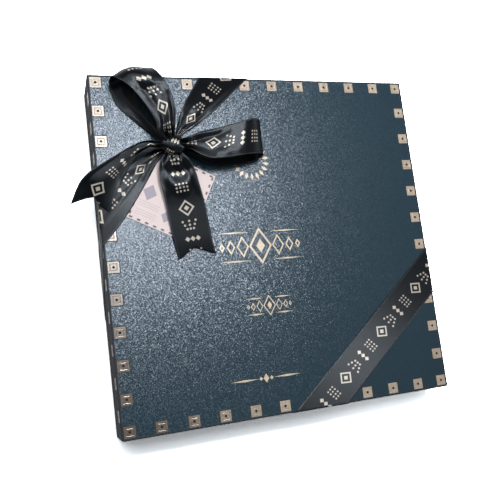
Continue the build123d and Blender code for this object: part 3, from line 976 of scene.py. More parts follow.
@dataclass
class Ribbon:
    """A strip of satin through pairs of edge points, its printed side along cross(run, width)."""

    rows: list[Pair]
    pleats: float = 0.0
    pleat_reach: float = 1.1
    folds: tuple[Crease, ...] = ()
    sheared: bool = False
    both_ends: bool = False
    print_start: float = 0.0

    def __post_init__(self) -> None:
        """Measures the strip along its middle and along both edges."""
        self.left = self.measured([row[0] for row in self.rows])
        run = (self.rows[1][0] - self.rows[0][0]).normalized()
        lead = (self.rows[0][1] - self.rows[0][0]).dot(run)
        self.right = [lead + length for length in self.measured([row[1] for row in self.rows])]
        self.middle = self.measured([(left + right) / 2 for left, right in self.rows])
        self.length = self.middle[-1]

    @staticmethod
    def measured(points: Sequence[Vector]) -> list[float]:
        """Length along a line of points, up to each of them."""
        lengths = [0.0]
        for one, two in zip(points, points[1:]):
            lengths.append(lengths[-1] + (two - one).length)
        return lengths

    def find(self, distance: float) -> tuple[int, float]:
        """The row before a distance along the middle, and the share to the next row."""
        distance = min(max(distance, 0.0), self.length)
        index = 0
        while index < len(self.middle) - 2 and self.middle[index + 1] < distance:
            index += 1
        gap = self.middle[index + 1] - self.middle[index]
        return index, (distance - self.middle[index]) / gap if gap else 0.0

    def flat_point(self, across: float, distance: float) -> Vector:
        """A point of the strip before it is pleated or creased."""
        index, share = self.find(distance)
        left = self.rows[index][0].lerp(self.rows[index + 1][0], share)
        right = self.rows[index][1].lerp(self.rows[index + 1][1], share)
        return left.lerp(right, across)

    def normal(self, across: float, distance: float) -> Vector:
        """The strip's direction towards its printed side."""
        step = 0.6 * MM
        ahead = self.flat_point(across, distance + step)
        behind = self.flat_point(across, distance - step)
        side = self.flat_point(1, distance) - self.flat_point(0, distance)
        return side.cross(ahead - behind).normalized()

    def gather(self, distance: float) -> float:
        """Height of the pleats that take up the width lost where the strip is gathered."""
        if not self.pleats:
            return 0.0
        here = (self.flat_point(1, distance) - self.flat_point(0, distance)).length
        slack = math.sqrt(max(0.0, RIBBON_WIDTH**2 - here**2))
        from_end = min(distance, self.length - distance) if self.both_ends else distance
        fade = max(0.0, 1 - from_end / (self.pleat_reach * RIBBON_WIDTH))
        return slack / (4 * self.pleats) * fade**0.8

    def point(self, across: float, distance: float) -> Vector:
        """A point of the finished strip.

        Args:
            across: share of the width, from 0 to 1.
            distance: metres along the middle.

        Returns:
            The point in the row frame.
        """
        lift = self.gather(distance) * math.sin(2 * math.pi * self.pleats * across)
        lift += sum(fold.lift(across, distance / RIBBON_WIDTH) for fold in self.folds)
        flat = self.flat_point(across, distance)
        return flat + self.normal(across, distance) * lift if lift else flat

    def cloth_place(self, across: float, distance: float) -> tuple[float, float]:
        """Place on the flat ribbon, in widths across and along."""
        if not self.sheared:
            return across, distance / RIBBON_WIDTH + self.print_start
        index, share = self.find(distance)
        left = self.left[index] + (self.left[index + 1] - self.left[index]) * share
        right = self.right[index] + (self.right[index + 1] - self.right[index]) * share
        return across, (left + (right - left) * across) / RIBBON_WIDTH

    def mesh(self, columns: int, stops: Sequence[float], notch: float) -> bmesh.types.BMesh:
        """The strip as a grid of faces with its own cloth UV map.

        Args:
            columns: faces across.
            stops: distances along the middle where rows of points lie.
            notch: how deep the last end is cut to a swallowtail, in metres.

        Returns:
            The strip's surface.
        """
        rows = len(stops) - 1

        def cut(across: float, along: float) -> tuple[float, float]:
            """Share across and distance along of a point of the grid, with the end cut."""
            depth = notch * (1 - abs(2 * across - 1))
            return across, stops[round(along * rows)] * (1 - depth / stops[-1])

        return cloth_mesh(
            columns,
            rows,
            lambda *share: self.cloth_place(*cut(*share)),
            lambda *share: self.point(*cut(*share)),
        )


def eased(before: Vector, start: Vector, end: Vector, after: Vector, share: float) -> Vector:
    """A point on the smooth curve from start to end, a share of the way along it."""
    pull = (end - before) * 0.5
    push = (after - start) * 0.5
    gap = end - start
    return (
        start
        + pull * share
        + (gap * 3 - pull * 2 - push) * share**2
        + (pull + push - gap * 2) * share**3
    )


def eased_rows(stations: Sequence[Pair], steps: int = 12) -> list[Pair]:
    """Pairs of edge points with further pairs between them, each edge on a smooth curve."""
    last = len(stations) - 1
    rows = []
    for index in range(last):
        around = [stations[min(max(index + step, 0), last)] for step in (-1, 0, 1, 2)]
        rows += [
            tuple(eased(*edge, step / steps) for edge in zip(*around)) for step in range(steps)
        ]
    return rows + [stations[last]]


def flipped(rows: Sequence[Pair]) -> list[Pair]:
    """Rows with their two edges the other way round."""
    return [(two, one) for one, two in rows]


class Wall(Enum):
    """The lid's walls: outward direction, and the direction along the wall."""

    RIGHT = ((1, 0), (0, 1))
    UPPER = ((0, 1), (-1, 0))
    LEFT = ((-1, 0), (0, -1))
    LOWER = ((0, -1), (1, 0))


@dataclass(frozen=True)
class Strand:
    """One strand of the bow: its edges, what holds it, and its pleats, creases, cut and print."""

    name: str
    edges: Sequence[tuple]
    held: str
    pleats: float
    pleat_reach: float
    folds: tuple[Crease, ...]
    both_ends: bool = False
    notch: float = 0.0
    print_start: float = 0.0


@dataclass
class RibbonWork:
    """The bands over the lid and the bow, all of one width of black satin."""

    rim: float = 1.6 * MM
    wall: float = 2.05 * MM
    tab: float = 12 * MM
    knot: tuple[float, float] = (-66 * MM, 65 * MM)
    knot_size: tuple[float, float, float] = (15 * MM, 12 * MM, 13 * MM)
    knot_flat: tuple[float, float] = (16 * MM, 38 * MM)
    knot_turn: float = -24.0
    knot_spread: float = 1.18
    knot_waist: float = 0.42
    knot_pleat: float = 0.5 * MM
    knot_slant: float = 0.9 * MM
    knot_faces: tuple[int, int] = (24, 48)
    knot_print: tuple[float, float] = (1.7, 1.25)
    lie: float = 0.725 * MM
    corner_reach: float = 98 * MM
    corner_angle: float = 40.6
    bow_reach: float = 89 * MM
    upper_angle: float = 47.0
    left_angle: float = 54.6
    columns: int = 28
    strand_step: float = 0.9 * MM
    band_step: float = 1.5 * MM

    def crossing(self, reach: float, angle: float) -> tuple[float, float]:
        """Where a band's edges cross the lid's edge, measured from the lid's corner."""
        half = RIBBON_WIDTH / 2 / math.sin(math.radians(angle))
        return reach - half, reach + half

    def down_wall(self, wall: Wall, start: float, end: float, slant: float) -> list[Pair]:
        """Rows of a ribbon end from the lid's face over its edge, down, round the rim and up.

        Args:
            wall: the wall that it goes down.
            start, end: where its two edges cross the lid's edge, along the wall.
            slant: how far they move along the wall for each unit of depth.

        Returns:
            Pairs of the points at start and at end.
        """
        (out_x, out_y), (along_x, along_y) = wall.value
        t = RIBBON_THICKNESS
        depth = LID_TOP - self.rim
        profile = (
            (-0.4 * MM, t / 2, 0.0), (-0.1 * MM, t / 2 - 0.02 * MM, 0.0),
            (t * 0.35, t * 0.1, 0.1 * MM), (t / 2, -0.3 * MM, 0.3 * MM),
            (t / 2, -depth * 0.5, depth * 0.5),
            (t / 2, -depth + 0.1 * MM, depth), (t * 0.3, -depth - t * 0.4, depth + 0.2 * MM),
            (-0.1 * MM, -depth - t / 2, depth + 0.4 * MM),
            (-self.wall, -depth - t / 2, depth + 1.6 * MM),
            (-self.wall - t * 0.4, -depth - t * 0.2, depth + 2.0 * MM),
            (-self.wall - t / 2, -depth + 0.3 * MM, depth + 2.3 * MM),
            (-self.wall - t / 2, -depth + self.tab, depth + self.tab),
        )
        rows = []
        for outward, up, travelled in profile:
            reach = LID_HALF + outward
            places = (start + slant * travelled, end + slant * travelled)
            xy = [(out_x * reach + along_x * p, out_y * reach + along_y * p) for p in places]
            rows.append(tuple(Vector((x, y, LID_TOP + up)) for x, y in xy))
        return rows

    def knot_spot(self, shares: tuple[float, float, float]) -> Vector:
        """A point of the bow, from shares of the ribbon's width, measured from the knot."""
        x, y, z = (share * RIBBON_WIDTH for share in shares)
        return Vector((self.knot[0] + x, self.knot[1] + y, LID_TOP + self.lie + z))

    def strand(self, strand: Strand) -> None:
        """Makes one strand of the bow, through the table of its edges."""
        ribbon = Ribbon(
            eased_rows([(self.knot_spot(one), self.knot_spot(two)) for one, two in strand.edges]),
            strand.pleats,
            strand.pleat_reach,
            strand.folds,
            both_ends=strand.both_ends,
            print_start=strand.print_start,
        )
        count = max(24, round(ribbon.length / self.strand_step))
        stops = [ribbon.length * index / count for index in range(count + 1)]
        self.finished(strand.name, ribbon, stops, strand.held, strand.notch)

    def finished(
        self, name: str, ribbon: Ribbon, stops: Sequence[float], held: str, notch: float = 0.0
    ) -> None:
        """Makes a strip an object with a printed and a plain side, in place of its CAD node."""
        shape = ribbon.mesh(self.columns, stops, notch)
        piece = new_piece(name + "_satin", shape, "lid", PRINTED_SATIN, SATIN_BACK)
        skin = skinned(piece, RIBBON_THICKNESS)
        skin.material_offset = skin.material_offset_rim = 1
        stand_in(piece, name, "satin_ribbon")

    def band(
        self, name: str, rows: list[Pair], pleats: float = 0.0, folds: tuple[Crease, ...] = ()
    ) -> None:
        """A band whose rows of points lie where its folds are."""
        ribbon = Ribbon(rows, pleats, folds=folds, sheared=True)
        stops = list(ribbon.middle)
        for one, two in zip(ribbon.middle, ribbon.middle[1:]):
            parts = round((two - one) / self.band_step)
            stops += [one + (two - one) * part / parts for part in range(1, parts)]
        self.finished(name, ribbon, sorted(stops), "stretched")

    def corner_band(self) -> None:
        """The band across the lower right corner of the lid."""
        slope = math.tan(math.radians(self.corner_angle))
        near, far = self.crossing(self.corner_reach, self.corner_angle)
        low, high = self.crossing(self.corner_reach * slope, 90 - self.corner_angle)
        lower = self.down_wall(Wall.LOWER, LID_HALF - far, LID_HALF - near, -1 / slope)
        right = self.down_wall(Wall.RIGHT, low - LID_HALF, high - LID_HALF, slope)
        self.band("ribbon_corner_band", [*reversed(lower), *flipped(right)])

    def from_knot(self, table: Sequence[tuple], turned: list[Pair]) -> list[Pair]:
        """Rows of a band from the knot to the lid's edge, and those of its turned end."""
        base = LID_TOP + self.lie

        def spot(share: tuple[float, float, float], end: Vector) -> Vector:
            """A point of an edge, from shares of its way from the knot to its crossing."""
            x, y = (at + part * (to - at) for at, part, to in zip(self.knot, share, end))
            return Vector((x, y, base + share[2] * self.knot_size[2]))

        rows = [tuple(spot(*point) for point in zip(pair, turned[0])) for pair in table]
        return eased_rows([*rows, turned[0]], 8)[:-1] + turned

    def upper_band(self) -> None:
        """The band from the knot to the lid's upper edge."""
        near, far = self.crossing(self.bow_reach, self.upper_angle)
        slope = math.tan(math.radians(self.upper_angle))
        turned = self.down_wall(Wall.UPPER, LID_HALF - far, LID_HALF - near, -1 / slope)
        rows = self.from_knot(UPPER_BAND, flipped(turned))
        self.band("ribbon_upper_band", rows, 2.0, UPPER_BAND_FOLDS)

    def left_band(self) -> None:
        """The band from the knot to the lid's left edge."""
        near, far = self.crossing(self.bow_reach, 90 - self.left_angle)
        slope = math.tan(math.radians(self.left_angle))
        turned = self.down_wall(Wall.LEFT, near - LID_HALF, far - LID_HALF, slope)
        rows = flipped(self.from_knot(LEFT_BAND, turned))
        self.band("ribbon_left_band", rows, 2.0, LEFT_BAND_FOLDS)

    def knot_wrap(self) -> None:
        """The short strip wrapped slantwise round the middle of the bow."""
        length, wide, tall = self.knot_size
        height = LID_TOP + self.lie - RIBBON_THICKNESS / 2 + tall / 2
        middle = Vector((*self.knot, height))
        turned = Matrix.Rotation(math.radians(self.knot_turn), 3, "Z")

        def spot(across: float, along: float) -> Vector:
            """A point of the wrap, waisted, pleated and slanting as it goes round."""
            side, turn = across * 2 - 1, along * 2 * math.pi
            waist = 1 - self.knot_waist * abs(side) ** 2.2
            pleat = self.knot_pleat * math.sin(side * 5.2 + 0.9 * math.sin(turn) + 0.5)
            slant = self.knot_slant * math.sin(turn + 0.6)
            lean = math.copysign(abs(math.sin(turn)) ** 0.75, math.sin(turn))
            x = side * length * 0.45 + slant
            y = (wide / 2 * waist * self.knot_spread + pleat) * math.cos(turn)
            return middle + turned @ Vector((x, y, (tall / 2 * waist - 0.5 * MM + pleat) * lean))

        widths, start = self.knot_print
        shape = cloth_mesh(*self.knot_faces, lambda x, y: (x, y * widths + start), spot)
        mend(shape)
        piece = new_piece("bow_knot_satin", shape, "lid", PRINTED_SATIN)
        skinned(piece, RIBBON_THICKNESS, -1.0)
        stand_in(piece, "bow_knot", "satin_ribbon")

    def build(self) -> None:
        """Makes the bands, the bow and the knot, and dresses the card under them."""
        CardStock().dress("gift_card")
        self.corner_band()
        self.upper_band()
        self.left_band()
        for strand in STRANDS:
            self.strand(strand)
        self.knot_wrap()


# Edges of each strand of the bow from the knot outwards, one edge and then the other, as shares
# of the ribbon's width: x, y and height, from the knot's middle and a lying strand.
UPPER_LOOP = (
    ((-0.18, 0.12, 0.34), (0.04, 0.13, 0.36)),
    ((-0.37, 0.24, 0.55), (0.06, 0.40, 0.58)),
    ((-0.43, 0.51, 0.62), (0.10, 0.79, 0.64)),
    ((-0.66, 0.92, 0.67), (0.04, 1.20, 0.68)),
    ((-1.00, 1.35, 0.70), (-0.12, 1.55, 0.71)),
    ((-1.30, 1.61, 0.58), (-0.31, 1.85, 0.61)),
    ((-1.37, 1.72, 0.33), (-0.38, 2.00, 0.33)),
    ((-1.40, 1.67, 0.11), (-0.40, 1.95, 0.11)),
    ((-1.36, 1.50, 0.02), (-0.40, 1.80, 0.02)),
    ((-1.25, 1.15, 0.0), (-0.38, 1.55, 0.0)),
    ((-0.97, 0.83, 0.0), (-0.29, 1.16, 0.02)),
    ((-0.60, 0.49, 0.04), (-0.18, 0.72, 0.05)),
    ((-0.22, 0.13, 0.14), (-0.06, 0.17, 0.14)),
)
RIGHT_LOOP = (
    ((0.20, 0.08, 0.34), (0.20, -0.08, 0.34)),
    ((0.40, 0.13, 0.49), (0.41, -0.20, 0.49)),
    ((0.79, 0.26, 0.54), (0.64, -0.36, 0.54)),
    ((1.18, 0.32, 0.59), (0.92, -0.48, 0.58)),
    ((1.63, 0.43, 0.64), (1.36, -0.49, 0.64)),
    ((2.08, 0.55, 0.65), (1.92, -0.41, 0.65)),
    ((2.40, 0.62, 0.37), (2.38, -0.33, 0.37)),
    ((2.34, 0.60, 0.09), (2.30, -0.39, 0.09)),
    ((2.08, 0.53, 0.0), (2.04, -0.46, 0.0)),
    ((1.60, 0.42, 0.0), (1.56, -0.51, 0.0)),
    ((1.12, 0.30, 0.0), (1.10, -0.48, 0.0)),
    ((0.70, 0.16, 0.03), (0.66, -0.32, 0.03)),
    ((0.22, 0.07, 0.14), (0.22, -0.07, 0.14)),
)
LOWER_TAIL = (
    ((0.12, -0.13, 0.16), (-0.12, -0.13, 0.16)),
    ((0.27, -0.24, 0.26), (-0.26, -0.26, 0.24)),
    ((0.39, -0.40, 0.28), (-0.36, -0.47, 0.26)),
    ((0.51, -0.60, 0.20), (-0.39, -0.70, 0.20)),
    ((0.58, -0.84, 0.17), (-0.38, -0.95, 0.17)),
    ((0.62, -1.05, 0.15), (-0.34, -1.20, 0.15)),
    ((0.70, -1.45, 0.10), (-0.29, -1.60, 0.10)),
    ((0.76, -1.96, 0.06), (-0.24, -2.10, 0.06)),
    ((0.81, -2.46, 0.03), (-0.17, -2.55, 0.03)),
    ((0.88, -2.85, 0.0), (-0.10, -2.94, 0.0)),
)
LEFT_TAIL = (
    ((-0.19, -0.07, 0.22), (-0.20, 0.06, 0.24)),
    ((-0.42, -0.14, 0.30), (-0.44, 0.06, 0.36)),
    ((-0.70, -0.14, 0.31), (-0.66, 0.05, 0.42)),
    ((-0.91, -0.27, 0.25), (-0.93, -0.04, 0.45)),
    ((-1.07, -0.46, 0.18), (-1.26, -0.20, 0.43)),
    ((-1.25, -0.72, 0.12), (-1.56, -0.36, 0.39)),
    ((-1.38, -0.97, 0.12), (-1.92, -0.56, 0.33)),
    ((-1.50, -1.17, 0.11), (-2.18, -0.73, 0.26)),
    ((-1.60, -1.38, 0.08), (-2.38, -0.95, 0.14)),
    ((-1.70, -1.62, 0.03), (-2.59, -1.39, 0.0)),
)

# Edges of the two bands, as shares of the way from the knot to where they cross the lid's edge,
# along X and along Y, and height as a share of the knot's.
UPPER_BAND = (
    ((0.04, 0.09, 0.115), (0.07, 0.04, 0.115)),
    ((0.22, 0.25, 0.08), (0.16, 0.19, 0.02)),
    ((0.31, 0.39, 0.15), (0.35, 0.33, 0.0)),
    ((0.50, 0.60, 0.22), (0.60, 0.57, 0.0)),
)
LEFT_BAND = (
    ((0.10, 0.03, 0.17), (0.07, 0.05, 0.115)),
    ((0.25, 0.14, 0.20), (0.18, 0.13, 0.0)),
    ((0.56, 0.54, 0.15), (0.32, 0.30, 0.0)),
    ((0.81, 0.84, 0.06), (0.45, 0.46, 0.0)),
    ((0.94, 0.95, -0.015), (0.70, 0.73, 0.0)),
)

# Soft creases of each strand, with places as the share across it and widths along it.
UPPER_LOOP_FOLDS = (
    Fold((0.34, 0.3), (0.26, 1.9), -0.9 * MM, 0.14),
    Fold((0.70, 0.2), (0.62, 1.8), 0.8 * MM, 0.14),
    Fold((0.45, 1.4), (0.45, 2.6), 3.6 * MM, 0.62),
    Fold((0.74, 2.5), (0.52, 4.0), 1.7 * MM, 0.15),
    Fold((0.30, 2.6), (0.40, 4.0), -1.4 * MM, 0.13),
)
RIGHT_LOOP_FOLDS = (
    Fold((0.30, 0.2), (0.20, 1.3), -0.8 * MM, 0.16),
    Fold((0.78, 0.3), (0.86, 1.7), 0.9 * MM, 0.2),
)
LOWER_TAIL_FOLDS = (
    Rim(1.0, 0.5, 1.3 * MM, 0.32),
    Fold((0.18, 0.2), (0.10, 1.3), 0.8 * MM, 0.1),
    Fold((0.80, 0.2), (0.90, 1.2), 0.8 * MM, 0.1),
)
LEFT_TAIL_FOLDS = (
    Fold((0.50, 0.1), (0.52, 2.7), 2.6 * MM, 0.42),
    Fold((0.86, 0.2), (0.84, 2.4), -0.7 * MM, 0.08),
)
UPPER_BAND_FOLDS = (
    Fold((0.34, 0.2), (0.24, 1.9), -0.6 * MM, 0.09),
    Fold((0.62, 0.2), (0.82, 2.3), 1.0 * MM, 0.12),
)
LEFT_BAND_FOLDS = (Fold((0.34, 0.2), (0.30, 3.1), 1.0 * MM, 0.08),)

STRANDS = (
    Strand("bow_upper_loop", UPPER_LOOP, "folded", 2.0, 1.2, UPPER_LOOP_FOLDS, both_ends=True),
    Strand("bow_right_loop", RIGHT_LOOP, "folded", 2.0, 1.0, RIGHT_LOOP_FOLDS, both_ends=True),
    Strand(
        "bow_lower_tail", LOWER_TAIL, "draped", 3.0, 1.2, LOWER_TAIL_FOLDS,
        notch=6.4 * MM, print_start=-0.72,
    ),
    Strand(
        "bow_left_tail", LEFT_TAIL, "draped", 2.0, 1.2, LEFT_TAIL_FOLDS,
        notch=7.0 * MM, print_start=0.4,
    ),
)


# Inside the box


@dataclass(frozen=True)
class Chocolate(Finish):
    """Tempered chocolate: satin gloss, faint bloom and fine moulding marks."""

    name: str
    body: Colour
    bloom: Colour
    roughness: float = 0.34

    def sockets(self, nodes: Nodes) -> dict[str, object]:
        """A cloudy tone with bloom where it was touched, and a finely pitted surface."""
        place = nodes.place()
        cloud = nodes.noise(place, 5 * MM, 4.0)
        pits = nodes.noise(place, 0.5 * MM, 3.0)
        return {
            "Base Color": nodes.mix(nodes.ramp(cloud, 0.42, 0.8) * 0.5, self.body, self.bloom),
            "Roughness": nodes.between(cloud, self.roughness - 0.06, self.roughness + 0.14),
            "Normal": nodes.bump(pits * 0.4 + cloud * 0.6, 0.12 * MM, 0.4),
            "Coat Weight": 0.25,
            "Coat Roughness": 0.22,
        }


@dataclass(frozen=True)
class LeafletPaper(Finish):
    """Cream paper with a plain printed key: a ring and two ruled lines for each chocolate."""

    name: str = "leaflet_paper"
    paper: Colour = srgb(236, 228, 212)
    ink: Colour = srgb(112, 88, 62)
    pitch: float = 35.0 * MM
    border: float = 91.5 * MM
    key: float = 87.0 * MM
    soft: float = 0.15 * MM

    def sockets(self, nodes: Nodes) -> dict[str, object]:
        """Fibres in the paper and a key that repeats in both directions."""
        place = nodes.place()
        fibres = FIBRES.on(nodes, Place=place, Size=0.6 * MM)
        x, y, _ = nodes.split(place)
        across, up = ((part + self.pitch / 2).within(self.pitch) for part in (x, y))
        centre = up - 4.0 * MM
        ring = abs(distance(across, centre) - 6.5 * MM).below(0.45 * MM, self.soft)
        core = (abs(across) + abs(centre)).below(2.6 * MM, self.soft)
        lines = [
            abs(up + drop * MM).below(0.3 * MM, self.soft)
            * abs(across).below(width * MM, self.soft)
            for drop, width in ((7.0, 10.0), (9.6, 7.0))
        ]
        edge = largest(abs(x), abs(y))
        border = abs(edge - self.border).below(0.35 * MM, self.soft)
        ink = largest(largest(ring, core, *lines) * edge.below(self.key, self.soft), border)
        return {
            "Base Color": nodes.mix(ink * 0.85, self.paper, self.ink),
            "Roughness": nodes.between(fibres["Tone"], 0.7, 0.55),
            "Normal": nodes.bump(fibres["Height"], 0.04 * MM, 0.5),
        }


@dataclass(frozen=True)
class PadPaper(Finish):
    """Soft white embossed padding paper with fine crêped lines."""

    name: str = "padding_paper"
    light: Colour = srgb(240, 236, 228)
    dark: Colour = srgb(206, 198, 186)

    def sockets(self, nodes: Nodes) -> dict[str, object]:
        """Fibres, and fine crinkles between the sewn lines."""
        place = nodes.place()
        fibres = FIBRES.on(nodes, Place=place, Size=0.8 * MM)
        crinkle = nodes.noise(place, 1.6 * MM, 4.0)
        tone = nodes.ramp(fibres["Tone"] * 0.5 + crinkle * 0.5, 0.35, 0.65)
        return {
            "Base Color": nodes.mix(tone, self.dark, self.light),
            "Roughness": nodes.between(crinkle, 0.9, 0.75),
            "Normal": nodes.bump(fibres["Height"] * 0.4 + crinkle * 0.6, 0.18 * MM, 0.6),
        }


class Kind(Enum):
    """The five kinds of chocolate, as their CAD nodes name them."""

    DOME = "dome"
    SQUARE = "square"
    BATON = "baton"
    ROSETTE = "rosette"
    NUT_CUP = "nut_cup"


@dataclass
class Assortment:
    """Twenty-five chocolates of five kinds in fluted paper cups."""

    pitch: float = 43.56 * MM
    count: int = 5
    cup_floor: float = 3.25 * MM
    stand: float = 3.55 * MM
    cup_height: float = 16.94 * MM
    cup_base: float = 17.5 * MM
    cup_curve: float = 1.2 * MM
    cup_mouth: float = 20.7 * MM
    cup_paper: float = 0.12 * MM
    flutes: int = 48
    flute_depth: float = 0.5 * MM
    radius: float = 16.0 * MM
    block_height: float = 15.4 * MM
    draft: float = 0.9
    panel_border: float = 3.0 * MM
    panel_slope: float = 0.7 * MM
    panel_depth: float = 0.8 * MM
    panel_top: float = 14.9 * MM
    lobes: int = 7
    nut_radius: float = 6.5 * MM
    nut_height: float = 10.3 * MM
    sharp_angle: float = 40.0

    def cells(self) -> list[tuple[int, int, float, float]]:
        """Row, column and middle of each cell, counted from the lower left."""
        middle = (self.count - 1) / 2
        return [
            (row, column, (column - middle) * self.pitch, (row - middle) * self.pitch)
            for row in range(self.count)
            for column in range(self.count)
        ]

    def cup_mesh(self) -> bpy.types.Mesh:
        """One cup: a disc drawn up into a wall whose flutes deepen towards the mouth."""
        shape = bmesh.new()
        _, edges = disc(shape, self.flutes * 4, self.cup_base - self.cup_curve)
        steps = ((0.7, 0.0, 0.15), (1.0, 0.03, 0.5), (1.0, 0.35, 0.8), (1.0, 1.0, 1.0))
        for curved, height, depth in steps:
            ring, edges = grown(shape, edges)
            base = self.cup_base - self.cup_curve * (1 - curved)
            radius = base + (self.cup_mouth - self.cup_base) * height
            for vert in ring:
                turn = math.atan2(vert.co.y, vert.co.x)
                wave = 0.5 - 0.5 * math.cos(turn * self.flutes)
                reach = radius - self.flute_depth * depth * wave
                vert.co = polar(reach, turn, self.cup_height * height)
        mend(shape)
        return kept_mesh(shape, "cup")

    def cups(self) -> None:
        """All the cups as one piece, as in the CAD."""
        shape = bmesh.new()
        pattern = self.cup_mesh()
        for row, column, x, y in self.cells():
            spot = Matrix.Translation((x, y, self.cup_floor + self.cup_paper))
            stamp(shape, pattern, spot @ Matrix.Rotation(0.7 * row + 1.3 * column, 4, "Z"))
        piece = new_piece("fluted_cups", shape, "assortment", CUP_PAPER)
        skinned(piece, self.cup_paper)
        stand_in(piece, "paper_cups", "cup_paper")

    @staticmethod
    def turned(shape: bmesh.types.BMesh, profile: Sequence, radius: float, steps: int) -> None:
        """Spins a profile of radius and height shares, both in units of a radius, full circle."""
        verts = [shape.verts.new((radius * r, 0.0, radius * z)) for r, z in profile]
        edges = [shape.edges.new(pair) for pair in zip(verts, verts[1:])]
        bmesh.ops.spin(
            shape, geom=verts + edges, cent=(0, 0, 0), axis=(0, 0, 1), angle=2 * math.pi,
            steps=steps, use_merge=True,
        )
        mend(shape)

    def dome(self, shape: bmesh.types.BMesh) -> None:
        """A round dome on a small foot, with a swirl line on its top."""
        profile = (
            (0, 0), (0.9, 0), (0.945, 0.02), (0.985, 0.08), (1.0, 0.15), (0.995, 0.26),
            (0.965, 0.39), (0.9, 0.54), (0.8, 0.68), (0.66, 0.8), (0.48, 0.9), (0.28, 0.955),
            (0.12, 0.972), (0, 0.975),
        )
        self.turned(shape, profile, self.radius, 64)
        for place in (-0.5, 0.0, 0.5):
            self.ridge(shape, 13 * MM, 0.9 * MM, place * 6 * MM, self.radius * 0.93, 0.5)

    @staticmethod
    def ridge(
        shape: bmesh.types.BMesh, length: float, width: float, y: float, z: float, turn: float
    ) -> None:
        """A round-ended raised line of chocolate.

        Args:
            shape: where it is added.
            length, width: its size.
            y: its place across the chocolate, before it is turned.
            z: height of its middle.
            turn: its direction in radians.
        """
        made = bmesh.ops.create_icosphere(shape, subdivisions=3, radius=0.5)["verts"]
        placement = (
            Matrix.Translation((0, 0, z))
            @ Matrix.Rotation(turn, 4, "Z")
            @ Matrix.Translation((0, y, 0))
            @ Matrix.Diagonal((length, width, width, 1.0))
        )
        bmesh.ops.transform(shape, matrix=placement, verts=made)

    def moulded(
        self, shape: bmesh.types.BMesh, length: float, width: float, round_off: float
    ) -> None:
        """A moulded block: narrower at the top, with rounded edges and a shallow panel."""
        size = (length, width, self.block_height)
        bmesh.ops.create_cube(shape, size=1.0)
        bmesh.ops.translate(shape, vec=(0, 0, 0.5), verts=shape.verts)
        bmesh.ops.scale(shape, vec=size, verts=shape.verts)
        top = [vert for vert in shape.verts if vert.co.z > size[2] / 2]
        bmesh.ops.scale(shape, vec=(self.draft, self.draft, 1.0), verts=top)
        upper = [face for face in shape.faces if face.normal.z > 0.5]
        inset(shape, upper, self.panel_border)
        inset(shape, upper, self.panel_slope, -self.panel_depth)
        sharp = [edge for edge in shape.edges if edge.calc_face_angle(0.0) > 0.9]
        bmesh.ops.bevel(
            shape, geom=sharp, offset=round_off, segments=4, profile=0.5, affect="EDGES",
            material=-1,
        )
        mend(shape)

    def square(self, shape: bmesh.types.BMesh) -> None:
        """A square block with two raised lines in its panel."""
        self.moulded(shape, 23.4 * MM, 23.4 * MM, 1.6 * MM)
        for y in (-3.0 * MM, 3.0 * MM):
            self.ridge(shape, 13 * MM, 1.6 * MM, y, self.panel_top, math.pi / 4)

    def baton(self, shape: bmesh.types.BMesh) -> None:
        """A long block with slanting raised lines."""
        self.moulded(shape, 28.4 * MM, 18.4 * MM, 2.2 * MM)
        for index in range(4):
            first = len(shape.verts)
            self.ridge(shape, 11 * MM, 1.3 * MM, 0.0, self.panel_top, 1.1)
            shape.verts.ensure_lookup_table()
            shift = (index - 1.5) * 4.6 * MM
            bmesh.ops.translate(shape, vec=(shift, 0, 0), verts=shape.verts[first:])

    def rosette(self, shape: bmesh.types.BMesh) -> None:
        """A piped rosette: lobed rings that shrink and turn as they rise to a tip."""
        levels = (
            (0.84, 0.0), (0.95, 0.05), (1.0, 0.14), (0.985, 0.26), (0.91, 0.38), (0.84, 0.43),
            (0.83, 0.48), (0.78, 0.6), (0.68, 0.69), (0.58, 0.73), (0.56, 0.77), (0.48, 0.86),
            (0.34, 0.94), (0.18, 0.99), (0.05, 1.02),
        )
        ring, edges = disc(shape, self.lobes * 12, 1.0)
        for index, (size, height) in enumerate(levels):
            if index:
                ring, edges = grown(shape, edges)
            for vert in ring:
                turn = math.atan2(vert.co.y, vert.co.x)
                lobe = abs(math.cos(self.lobes / 2 * (turn - 1.5 * height)))
                reach = self.radius * size * (1 - 0.2 * (1 - lobe) * (1 - height * 0.3))
                vert.co = polar(reach, turn, self.radius * height)
        bmesh.ops.holes_fill(shape, edges=edges, sides=0)
        mend(shape)

    def nut_cup(self, shape: bmesh.types.BMesh) -> None:
        """A low ribbed cup of chocolate with a whole nut set in its filling."""
        profile = (
            (0, 0), (0.78, 0), (0.83, 0.03), (0.9, 0.24), (0.955, 0.46), (0.97, 0.6),
            (0.95, 0.665), (0.9, 0.685), (0.84, 0.66), (0.8, 0.61), (0.4, 0.6), (0, 0.6),
        )
        self.turned(shape, profile, self.radius, 64)
        nut_profile = (
            (0, -0.25), (0.62, -0.2), (0.92, 0.05), (1.0, 0.3), (0.93, 0.56), (0.72, 0.8),
            (0.42, 0.95), (0.16, 1.02), (0, 1.06),
        )
        nut = bmesh.new()
        self.turned(nut, nut_profile, self.nut_radius, 32)
        for face in nut.faces:
            face.material_index = 1
        stamp(shape, kept_mesh(nut, "nut"), Matrix.Translation((0, 0, self.nut_height)))

